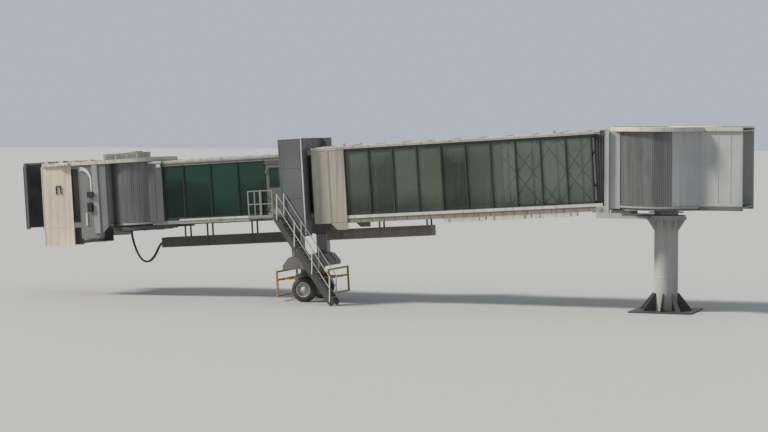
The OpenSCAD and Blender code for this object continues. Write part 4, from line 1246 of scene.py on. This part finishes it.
beam_trim = bmesh.new()
beam_bolts = bmesh.new()
slant_degrees = 50.2
for side in (-1, 1):
    block(beam_trim, about(0, 0.30), on_wall(side, beam_end, 0.008), (-1.74, -1.44), 0.004)
    studs(beam_bolts, side, beam_end, (-0.27, -0.09, 0.09, 0.27), (-1.71, -1.47), 0.006, 0.018, 0.013)
    studs(beam_bolts, side, beam_end, (-0.27, 0.27), [-1.59], 0.006, 0.018, 0.013)
    block(beam_trim, (side * 0.594, side * 0.612), about(0, beam_end - 0.01),
          (beam_foot + 0.004, beam_foot + 0.05), 0.004)
    slant = (Matrix.Translation((side * 0.475, 0, -1.49))
             @ Matrix.Rotation(side * math.radians(slant_degrees), 4, "Y"))
    for y in (-1.1, -0.37, 0.37, 1.1):
        turned_block(beam_trim, slant, about(0, 0.2), about(y, 0.008), (-0.004, 0.03), 0.003)
flange_bolts = 24
hoop(beam_trim, (0.474, 0.53), (beam_foot - 0.034, beam_foot + 0.002), steps=64)
for at in around(flange_bolts, 0.506, beam_foot - 0.032, 7.5):
    stud(beam_bolts, at, (0, 0, -0.02), 0.013)
piece("carriage_trim", beam_trim, lift, carriage_paint, "lift_carriage")
piece("carriage_bolts", beam_bolts, lift, zinc, "lift_carriage")

# Bogie
# A welded box under the turntable with a geared motor at each end of it, front and back. The motors have
# cast cooling fins, a fan cowl and a junction box. Yellow hoops of square tube fence off the tyres.
bogie_paint = painted("bogie paint", (0.13, 0.128, 0.12), 0.5, 0.55, rust=0.5)
guard_yellow = painted("guard yellow", (0.46, 0.25, 0.022), 0.45, 0.6, rust=0.75, waves=0.0)
clad(bogie_paint, "bogie_frame")
clad(guard_yellow, "bogie_guard")
box_foot, box_top = -2.40, -2.06
box_end = 0.42
motor_z = -2.24
motor_radius = 0.11
drives = bmesh.new()
drive_bolts = bmesh.new()


def motor_part(end, start, length, radius, sides):
    """A round part of a motor, given by its distance from the end of the box."""
    stud(drives, (end * (box_end + start), 0, motor_z), (end * length, 0, 0), radius, sides)


fin_count = 12
fin_pitch = 0.0135
hoop(drives, (0.464, 0.53), (box_top, box_top + 0.03), steps=64)
for at in around(flange_bolts, 0.50, box_top + 0.028):
    stud(drive_bolts, at, (0, 0, 0.02), 0.013)
for end in (-1, 1):
    for start in pitched(0.085, fin_pitch, fin_count):
        motor_part(end, start, 0.006, motor_radius + 0.016, 24)
    motor_part(end, -0.002, 0.047, 0.15, 32)
    motor_part(end, 0.262, 0.056, motor_radius + 0.018, 32)
    for spot in around(8, 0.13, 0, 22.5):
        stud(drive_bolts, (end * (box_end + 0.044), spot.x, motor_z + spot.y), (end * 0.014, 0, 0), 0.009)
    block(drives, (end * (box_end + 0.11), end * (box_end + 0.22)), about(0, 0.055),
          (motor_z + 0.10, motor_z + 0.175), 0.008)
    for hatch_y in (-0.36, 0.36):
        block(drives, on_wall(end, box_end, 0.01), about(hatch_y, 0.16), (box_foot + 0.05, box_top - 0.06),
              0.004)
        for y in about(hatch_y, 0.12):
            for z in (box_foot + 0.09, box_top - 0.1):
                stud(drive_bolts, (end * (box_end + 0.008), y, z), (end * 0.012, 0, 0), 0.011)
    for z in ((box_foot + 0.005, box_foot + 0.04), (box_top - 0.04, box_top - 0.005)):
        block(drives, about(0, 0.41), on_wall(end, 0.60, 0.012), z, 0.004)
piece("bogie_drives", drives, lift, bogie_paint, "bogie")
piece("bogie_bolts", drive_bolts, lift, zinc, "bogie")

guard_low, guard_high = reach("bogie_guard", lift)
tube_half = 0.03
guard_x = guard_high.x - tube_half
joint_half = tube_half + 0.006
guard_joints = bmesh.new()
for end in (-1, 1):
    x = end * guard_x
    for y in (-1.05, 1.05):
        for z in (guard_low.z + tube_half, -2.23, guard_high.z - tube_half):
            block(guard_joints, about(x, joint_half), about(y, joint_half), about(z, joint_half), 0.006)
    for y in (-0.45, 0.45):
        block(guard_joints, (end * 0.419, end * 0.436), about(y, 0.07), (-2.30, -2.16), 0.004)
        block(guard_joints, (x - end * 0.05, x - end * 0.028), about(y, 0.05), (-2.28, -2.18), 0.004)
piece("guard_joints", guard_joints, lift, guard_yellow, "bogie")

# Wheels
# Two large heavy-load tyres with four plain ribs and notched shoulders, on white steel rims with domed
# flanges. Ten nuts and a pressed cap close each hub.
tyre_rubber = rubber("tyre rubber", (0.024, 0.023, 0.022), 0.72, 60.0)
rim_white = painted("rim paint", (0.52, 0.51, 0.48), 0.4, 0.6, rust=0.6)
clad(rim_white, "rim_left", "rim_right")
tyre_radius = 0.5
tyre_half = 0.18
groove_depth = 0.016
lug_count = 44
shoulder_slant = 52
nut_count = 10
wheel_centre = joint_at("roll_left", lift)
groove_radius = tyre_radius - groove_depth
half_outline = [(0.3004, 0.14), (0.33, 0.17), (0.345, 0.176), (0.352, 0.182), (0.366, 0.183),
                (0.40, tyre_half), (0.45, 0.168), (0.462, 0.16), (0.485, 0.142), (0.497, 0.118),
                (tyre_radius, 0.105), (tyre_radius, 0.064), (groove_radius, 0.061), (groove_radius, 0.049),
                (tyre_radius, 0.046), (tyre_radius, 0.009), (groove_radius, 0.006)]
tyre_outline = half_outline + [(r, -h) for r, h in reversed(half_outline)]
for side, name in ((1, "left"), (-1, "right")):
    wheel = (lift @ Matrix.Translation((0, side * abs(wheel_centre.y), wheel_centre.z))
             @ Matrix.Rotation(-side * math.pi / 2, 4, "X"))
    casing = bmesh.new()
    ring(casing, tyre_outline, steps=96)
    for row in (-1, 1):
        shoulder = (Matrix.Translation((0.4775, 0, row * 0.1365))
                    @ Matrix.Rotation(math.radians(row * shoulder_slant), 4, "Y"))
        for count in range(lug_count):
            turn = Matrix.Rotation(math.radians((count + 0.25 * row) * 360 / lug_count), 4, "Z")
            turned_block(casing, turn @ shoulder, (-0.042, 0.028), about(0, 0.0145), (-0.004, 0.007), 0.004)
    tyre = piece(f"tyre_{name}_tread", casing, wheel, tyre_rubber, f"wheel_{name}", 28.0)
    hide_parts(f"tyre_{name}")
    hub = bmesh.new()
    ring(hub, [(0.083, 0.079), (0.118, 0.079), (0.118, 0.094), (0.10, 0.116), (0.06, 0.132), (0.0001, 0.137),
               (0.0001, 0.113), (0.083, 0.108)], steps=48)
    ring(hub, [(0.278, 0.148), (0.302, 0.148), (0.306, 0.156), (0.298, 0.162), (0.282, 0.158)], steps=72)
    nuts = bmesh.new()
    for at in around(nut_count, 0.13, 0.078):
        stud(nuts, at, (0, 0, 0.02), 0.014)
        stud(nuts, at + Vector((0, 0, 0.018)), (0, 0, 0.014), 0.008, 10)
    for at in around(8, 0.215, -0.012, 22.5):
        stud(nuts, at, (0, 0, 0.02), 0.012)
    piece(f"hub_cap_{name}", hub, wheel, rim_white, f"wheel_{name}")
    piece(f"wheel_nuts_{name}", nuts, wheel, zinc, f"wheel_{name}")

# Cab walls
# Sheet-steel side walls run from the roof to below the floor and hide its frame. The door side has a cream
# front panel, a tall dark window and a grey rear panel with its post, bracket and two switch boxes.
grey_tone = (0.225, 0.225, 0.22)
cab_grey = painted("cab grey paint", grey_tone, 0.42, 0.35)
cab_light = painted("cab light grey paint", (0.36, 0.36, 0.35), 0.42, 0.35)
black_paint_and_shade = painted("black paint and painted shade", (0.022, 0.022, 0.024), 0.4, 0.3, waves=0.0)
window_dark = tinted_glass("dark window glass", (0.012, 0.016, 0.016), 0.9, (0.07, 0.075, 0.07))
clad(cab_light, "cab_wall_left", "cab_bulkhead")
clad(roof_white, "cab_roof")
wall_low, wall_high = reach("cab_wall_right", cab)
cab_front = wall_low.x
cab_face = -wall_low.y
wall_foot = wall_low.z
wall_top = wall_high.z
floor_level = drum_low.z
window_x = (-2.60, -2.27)
window_z = (floor_level + 0.15, wall_top - 0.15)
cream = painted("cream panel paint", (0.68, 0.60, 0.51), 0.42, 0.3, second=(grey_tone, cab, window_x[0]))
clad(cream, "cab_wall_right")

panel_x = (cab_front, window_x[0])
panel_lines = (panel_x[0] + 0.02, panel_x[1] - 0.02)
for side, name, finish, slot in ((-1, "right", cream, "cream"), (1, "left", cab_light, "light")):
    panel = bmesh.new()
    for x in panel_lines:
        block(panel, about(x, 0.02), on_wall(side, cab_face, 0.012), (wall_foot + 0.002, wall_top - 0.002),
              0.004)
    for z in (wall_foot + 0.02, wall_top - 0.02):
        block(panel, (panel_x[0] + 0.03, panel_x[1] - 0.03), on_wall(side, cab_face, 0.010), about(z, 0.02),
              0.004)
    block(panel, (panel_x[0] + 0.04, panel_x[1] - 0.04), on_wall(side, cab_face, 0.006),
          (floor_level - 0.04, floor_level - 0.01), 0.003)
    studs(panel, side, cab_face, panel_lines, spaced(wall_foot + 0.15, wall_top - 0.15, 12), 0.010, 0.017,
          0.009, 8, 0.6)
    piece(f"cab_panel_folds_{name}", panel, cab, finish, "cab")

rear = bmesh.new()
rear_x = (window_x[1] + 0.003, -1.003)
skirt_foot = wall_foot + 0.252
skirt_top = floor_level - 0.08
block(rear, rear_x, on_wall(-1, cab_face, 0.006, 0.001), (skirt_top, wall_top - 0.002), 0.002)
block(rear, (rear_x[0], -1.505), on_wall(-1, cab_face, 0.006, 0.001), (skirt_foot, skirt_top), 0.002)
rear_fold_z = (skirt_top + 0.002, wall_top - 0.004)
for x in (rear_x[0] + 0.02, -1.80, rear_x[1] - 0.02):
    block(rear, about(x, 0.016), on_wall(-1, cab_face, 0.014, -0.004), rear_fold_z, 0.003)
piece("cab_rear_cover", rear, cab, cab_grey, "cab")

# Painted shade: black plates set back in both skirts below the window line stand for the shadow in the recess
# between the cream panel and the grey rear cover.
recess_shade_plates = bmesh.new()
for side in (-1, 1):
    block(recess_shade_plates, (window_x[0] - 0.04, window_x[1] + 0.04), on_wall(side, cab_face, -0.075, 0.09),
          (wall_foot + 0.02, floor_level - 0.09), 0.003)
    block(recess_shade_plates, (window_x[0] + 0.10, window_x[0] + 0.13), on_wall(side, cab_face, -0.05, 0.076),
          (wall_foot + 0.03, floor_level - 0.10), 0.003)
piece("cab_recess_shade_plates", recess_shade_plates, cab, black_paint_and_shade, "cab")

post = bmesh.new()
post_x = (-1.62, -1.36)
block(post, post_x, on_wall(-1, cab_face, 0.055, -0.004), (floor_level - 0.36, wall_top - 0.004), 0.008)
studs(post, -1, cab_face, (post_x[0] + 0.035, post_x[1] - 0.035), pitched(floor_level - 0.2, 0.36, 8), 0.054,
      0.064, 0.011)
piece("cab_side_post", post, cab, cab_light, "cab")

# The white bracket is cut from plate: a quarter arc that widens towards its top, over a straight tail
bracket = bmesh.new()
bracket_centre = Vector((-2.20, 0, 2.22))
bracket_radius = 0.55
bracket_back = Vector((0, -cab_face - 0.062, 0))
tail_z = 1.72
arc_steps = 14
arc_degrees = 85
outer_arc, inner_arc = [], []
for step in range(arc_steps + 1):
    angle = math.radians(arc_degrees * step / arc_steps)
    width = 0.07 + 0.10 * step / arc_steps
    way = Vector((math.cos(angle), 0, math.sin(angle)))
    outer_arc.append(bracket_centre + bracket_radius * way)
    inner_arc.append(bracket_centre + (bracket_radius - width) * way)
tail = [Vector((outer_arc[0].x, 0, tail_z)), Vector((inner_arc[0].x, 0, tail_z))]
bracket_line = tail[:1] + outer_arc + inner_arc[::-1] + tail[1:]
rim_points = [bracket.verts.new(point + bracket_back) for point in bracket_line]
pushed = bmesh.ops.extrude_face_region(bracket, geom=[bracket.faces.new(rim_points)])
front_points = [v for v in pushed["geom"] if isinstance(v, bmesh.types.BMVert)]
bmesh.ops.translate(bracket, verts=front_points, vec=(0, 0.058, 0))
block(bracket, (-2.00, -1.93), on_wall(-1, cab_face, 0.05, -0.004), (floor_level - 0.02, 0.86), 0.006)
piece("cab_side_bracket", bracket, cab, rail_white, "cab")

boxes = bmesh.new()
cover_lap = 0.008
for x, z, wide, tall in ((-1.71, 1.60, 0.25, 0.22), (-1.75, 1.08, 0.19, 0.36)):
    block(boxes, about(x, wide / 2), on_wall(-1, cab_face, 0.15, -0.012), about(z, tall / 2), 0.01)
    block(boxes, about(x, wide / 2 + cover_lap), on_wall(-1, cab_face, 0.158, -0.148),
          about(z, tall / 2 + cover_lap), 0.003)
    stud(boxes, (x, -cab_face - 0.08, z - tall / 2 + 0.002), (0, 0, -0.052), 0.012, 10)
piece("cab_switch_boxes", boxes, cab, black_paint_and_shade, "cab")

panel_bracket = bmesh.new()
stile_half = 0.014
stiles = (-3.32, -3.12)
for x in stiles:
    block(panel_bracket, about(x, stile_half), on_wall(-1, cab_face, 0.05, 0.001), (1.68, 2.02), 0.004)
block(panel_bracket, (stiles[0] - stile_half, stiles[1] + stile_half), on_wall(-1, cab_face, 0.05, 0.001),
      (2.0, 2.03), 0.004)
piece("cab_panel_bracket", panel_bracket, cab, black_paint_and_shade, "cab")

lamp = bmesh.new()
block(lamp, (-3.20, -2.62), (-1.60, -1.474), (wall_top + 0.02, wall_top + 0.13), 0.012)
block(lamp, (-3.05, -2.77), (-1.62, -1.595), (wall_top + 0.035, wall_top + 0.115), 0.004)
piece("cab_eave_lamp", lamp, cab, rail_white, "cab")

panes = bmesh.new()
window_seals = bmesh.new()
window_seal_half = 0.016
left_window_x = (cab_front + 0.30, cab_front + 1.50)
left_window_z = (floor_level + 1.0, floor_level + 2.0)
for side, (x1, x2), (z1, z2) in ((-1, window_x, window_z), (1, left_window_x, left_window_z)):
    block(panes, (x1 + 0.004, x2 - 0.004), on_wall(side, cab_face, -0.026, 0.032), (z1 + 0.004, z2 - 0.004))
    surround(window_seals, (x1, x2), (z1, z2), on_wall(side, cab_face, 0.006, 0.05), window_seal_half)
piece("cab_window_panes", panes, cab, window_dark, "cab")
piece("cab_window_seals", window_seals, cab, gasket_black, "cab")

# Cab floor and bumper
# The deck is ribbed rubber on steel plate with a light edge angle. Three moulded ribs run along the black
# rubber bumper at the front edge, and countersunk bolts hold it.
deck_edge = bmesh.new()
drum_edge = 1.32
hoop(deck_edge, about(drum_edge, 0.01), (floor_level - 0.082, floor_level - 0.002), steps=72, start=-108,
     sweep=216)
piece("drum_deck_edge", deck_edge, cab, zinc, "cab")
clad(rubber_black, "cab_bumper")
bumper_low, bumper_high = reach("cab_bumper", cab)
bumper_x = (bumper_low.x + bumper_high.x) / 2
ribs = bmesh.new()
for z in pitched(bumper_low.z + 0.016, 0.024, 3):
    rod(ribs, (bumper_low.x, bumper_low.y + 0.01, z), (bumper_low.x, bumper_high.y - 0.01, z), 0.009, 10)
for y in pitched(bumper_low.y + 0.16, 0.285, 9):
    stud(ribs, (bumper_x, y, bumper_high.z - 0.001), (0, 0, 0.005), 0.014, 12)
piece("bumper_ribs", ribs, cab, rubber_black, "cab")

# Cab cross wall and doors
# A steel wall closes the cab behind its open end. Two leaves on barrel hinges, each with a small window in
# a rubber seal, a lever handle and a kick plate, shut its doorway.
door_light = painted("door paint", (0.40, 0.40, 0.385), 0.38, 0.3)
clad(door_light, "cab_door_left", "cab_door_right")
leaf_front = reach("cab_bulkhead", cab)[0].x + 0.01
leaf_back = leaf_front + 0.04
pane_z = (floor_level + 1.30, floor_level + 1.85)
lever_z = floor_level + 1.05
stile = 0.18
leaf_seal_half = 0.014
for name, hinge_side, free_edge, hinge_edge in (("left", 1, -0.337, 0.272), ("right", -1, -0.343, -0.952)):
    body = f"cab_door_{name}"
    pane_y = sorted((hinge_edge - hinge_side * stile, free_edge + hinge_side * stile))
    seal = bmesh.new()
    surround(seal, pane_y, pane_z, (leaf_front - 0.006, leaf_back + 0.006), leaf_seal_half, crosswise=True)
    piece(f"cab_door_seal_{name}", seal, cab, gasket_black, body)
    pane = bmesh.new()
    block(pane, (leaf_front + 0.017, leaf_front + 0.023), pane_y, pane_z)
    piece(f"cab_door_pane_{name}", pane, cab, window_dark, body)
    lever = bmesh.new()
    lock_y = free_edge + hinge_side * 0.065
    kick_y = (hinge_edge - hinge_side * 0.06, free_edge + hinge_side * 0.04)
    for face, way in ((leaf_front, -1), (leaf_back, 1)):
        block(lever, (face - 0.0005 * way, face + way * 0.005), about(lock_y, 0.022),
              (floor_level + 0.95, floor_level + 1.13), 0.002)
        block(lever, (face - 0.0005 * way, face + way * 0.003), kick_y,
              (floor_level + 0.04, floor_level + 0.24), 0.001)
    stud(lever, (leaf_front + 0.002, lock_y, lever_z), (-0.042, 0, 0), 0.01, 12)
    stud(lever, (leaf_front - 0.038, lock_y - hinge_side * 0.008, lever_z), (0, hinge_side * 0.118, 0), 0.009,
         12)
    piece(f"cab_door_fittings_{name}", lever, cab, zinc, body)

# Cab roof
# A flat roof with a deep rounded fascia, a drip fold round its edge and low seams. The flat unit on it has
# pressed louvres along both sides and a fan guard on top.
roof_edge = reach("cab_roof", cab)[1].y
roof_level = wall_top + 0.15
corner = 0.22
drum_roof = 1.45
drip = (wall_top + 0.004, roof_level - 0.012)
seam_z = (roof_level - 0.003, roof_level + 0.022)
cab_roof_trim = bmesh.new()
for side in (-1, 1):
    block(cab_roof_trim, (cab_front + corner, 0.0), on_wall(side, roof_edge, 0.012, 0.004), drip, 0.003)
    hoop(cab_roof_trim, (corner - 0.004, corner + 0.012), drip,
         (cab_front + corner, side * (roof_edge - corner), 0), 12, 90 if side > 0 else 180, 90)
block(cab_roof_trim, (cab_front - 0.012, cab_front + 0.004), about(0, roof_edge - corner), drip, 0.003)
hoop(cab_roof_trim, (drum_roof - 0.004, drum_roof + 0.012), drip, (0, 0, 0), 64, -90, 180)
cab_seams = [(x, roof_edge - 0.36) for x in (-3.45, -2.85, -2.25, -1.68)]
cab_seams += [(x, math.sqrt(drum_roof ** 2 - x ** 2) - 0.04) for x in (0.35, 0.85)]
for x, seam_reach in cab_seams:
    block(cab_roof_trim, about(x, 0.011), about(0, seam_reach), seam_z, 0.004)
piece("cab_roof_trim", cab_roof_trim, cab, roof_white, "cab")

unit_paint = painted("roof unit paint", (0.43, 0.41, 0.37), 0.45, 0.6, rust=0.3)
clad(unit_paint, "roof_unit")
unit_low, unit_high = reach("roof_unit", cab)
unit_x = (unit_low.x + unit_high.x) / 2
louvre_count = 5
louvre_pitch = 0.036
louvres = bmesh.new()
for side in (-1, 1):
    for z in pitched(unit_low.z + 0.055, louvre_pitch, louvre_count):
        tilt = (Matrix.Translation((0, side * unit_high.y, z)) @ Matrix.Rotation(-side * 0.6, 4, "X")
                @ Matrix.Scale(side, 4, (0, 1, 0)))
        for bank in (-0.50, 0.0, 0.50):
            turned_block(louvres, tilt, about(unit_x + bank, 0.20), (-0.002, 0.022), about(0, 0.003))
    block(louvres, (unit_low.x + 0.01, unit_high.x - 0.01), on_wall(side, unit_high.y, 0.008),
          (unit_low.z + 0.001, unit_low.z + 0.025), 0.002)
block(louvres, (unit_low.x - 0.012, unit_high.x + 0.012), about(0, unit_high.y + 0.012),
      (unit_high.z - 0.02, unit_high.z + 0.008), 0.005)
fan_centre = Vector((unit_x + 0.36, 0, unit_high.z))
ring(louvres, [(0.30, 0.004), (0.34, 0.004), (0.33, 0.05), (0.31, 0.05)], fan_centre, 40)
for radius in pitched(0.06, 0.065, 4):
    hoop(louvres, about(radius, 0.004), (0.04, 0.048), fan_centre, 32)
for spoke in around(12, 0.315, 0.04):
    if spoke.y > -0.0001 and spoke.x > -0.31:
        across_fan = Vector((-spoke.x, -spoke.y, spoke.z))
        rod(louvres, fan_centre + across_fan, fan_centre + spoke, 0.004, 6)
piece("roof_unit_louvres", louvres, cab, unit_paint, "cab")

# Canopy
# A folded hood of coated fabric hangs between the cab and a square-tube hoop, which slides on two guide
# rods over the roof. A moulded rubber bulb is clamped to the front of the hoop as its seal.
hoop_grey = painted("hoop paint", (0.15, 0.15, 0.15), 0.45, 0.45)
canopy_fabric = coated_fabric("canopy fabric", (0.042, 0.044, 0.048))
clad(hoop_grey, "canopy_hoop")
canopy_low, canopy_high = reach("canopy_bellows", cab)
hoop_low, hoop_high = reach("canopy_hoop", cab)
canopy_folds = 8
fold_depth = 0.085
canopy_arch = (canopy_high.y - 0.008, canopy_low.z + 0.012, canopy_high.z - 0.008, 0.11)
canopy_ends = [tuple(cab @ Vector((x, 0, 1.6))) for x in (canopy_high.x, canopy_low.x)]
canopy = bellows("canopy_hood", arch_at(canopy_high.x - 0.001, canopy_arch),
                 arch_at(canopy_low.x + 0.001, canopy_arch), canopy_folds, fold_depth, 72, canopy_fabric,
                 ("cab", "canopy", *canopy_ends), cab)
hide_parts("canopy_bellows")

seal_rubber = rubber("canopy seal rubber", (0.02, 0.02, 0.021), 0.5, 120.0)
seal_line = (1.35, hoop_low.z + 0.015, hoop_high.z - 0.07, 0.15)
seal_depth = 0.058
seal_half = 0.046
seal_back = hoop_low.x + 0.003
canopy_seal = bmesh.new()
bmesh.ops.create_grid(canopy_seal, x_segments=120, y_segments=16, size=0.5)
for v in canopy_seal.verts:
    turned = math.tau * (v.co.y + 0.5)
    y, z, in_y, in_z = arch(v.co.x + 0.5, *seal_line)
    spread = seal_half * math.sin(turned)
    v.co = Vector((seal_back - seal_depth * (1 + math.cos(turned)) / 2, y + spread * in_y, z + spread * in_z))
bmesh.ops.remove_doubles(canopy_seal, verts=canopy_seal.verts[:], dist=0.0001)
bmesh.ops.holes_fill(canopy_seal, edges=[e for e in canopy_seal.edges if e.is_boundary], sides=0)
piece("canopy_seal", canopy_seal, cab, seal_rubber, "canopy", 50.0)

strips = bmesh.new()
strip_back = hoop_low.x
strip_x = (strip_back - 0.007, strip_back + 0.001)
strip_line = 1.2985
for y in (-strip_line, strip_line):
    block(strips, strip_x, about(y, 0.0075), (hoop_low.z + 0.015, hoop_high.z - 0.21), 0.002)
    for z in spaced(hoop_low.z + 0.1, hoop_high.z - 0.3, 10):
        stud(strips, (strip_back - 0.006, y, z), (-0.006, 0, 0), 0.006, 8)
block(strips, strip_x, about(0, 1.2), (hoop_high.z - 0.129, hoop_high.z - 0.114), 0.002)
piece("canopy_seal_strips", strips, cab, zinc, "canopy")

# Floor and light
# A plain pale floor under soft studio light. A broad sun from the left and above strikes the door side at
# a slant, and an even pale sky fills the rest.
ground_mesh = bpy.data.meshes.new("ground")
ground_shape = bmesh.new()
bmesh.ops.create_grid(ground_shape, x_segments=1, y_segments=1, size=400.0)
ground_shape.to_mesh(ground_mesh)
ground_shape.free()
ground = bpy.data.objects.new("ground", ground_mesh)
bpy.context.scene.collection.objects.link(ground)
ground_finish = Finish("studio floor")
ground_finish.set("Base Color", (0.46, 0.46, 0.455))
ground_finish.set("Roughness", 0.9)
ground_mesh.materials.append(ground_finish.material)

sky = bpy.data.worlds.new("sky")
sky.use_nodes = True
sky.node_tree.nodes["Background"].inputs["Color"].default_value = (0.86, 0.92, 1.0, 1.0)
sky.node_tree.nodes["Background"].inputs["Strength"].default_value = 0.5
bpy.context.scene.world = sky
bpy.context.scene.view_settings.view_transform = "Standard"

sun_from = Vector((-0.70, -0.35, 0.62))
sun_light = bpy.data.lights.new("sun", "SUN")
sun_light.energy = 3.4
sun_light.angle = math.radians(9)
sun_light.color = (1.0, 0.95, 0.87)
sun = bpy.data.objects.new("sun", sun_light)
sun.rotation_euler = (-sun_from).to_track_quat("-Z", "Y").to_euler()
bpy.context.scene.collection.objects.link(sun)
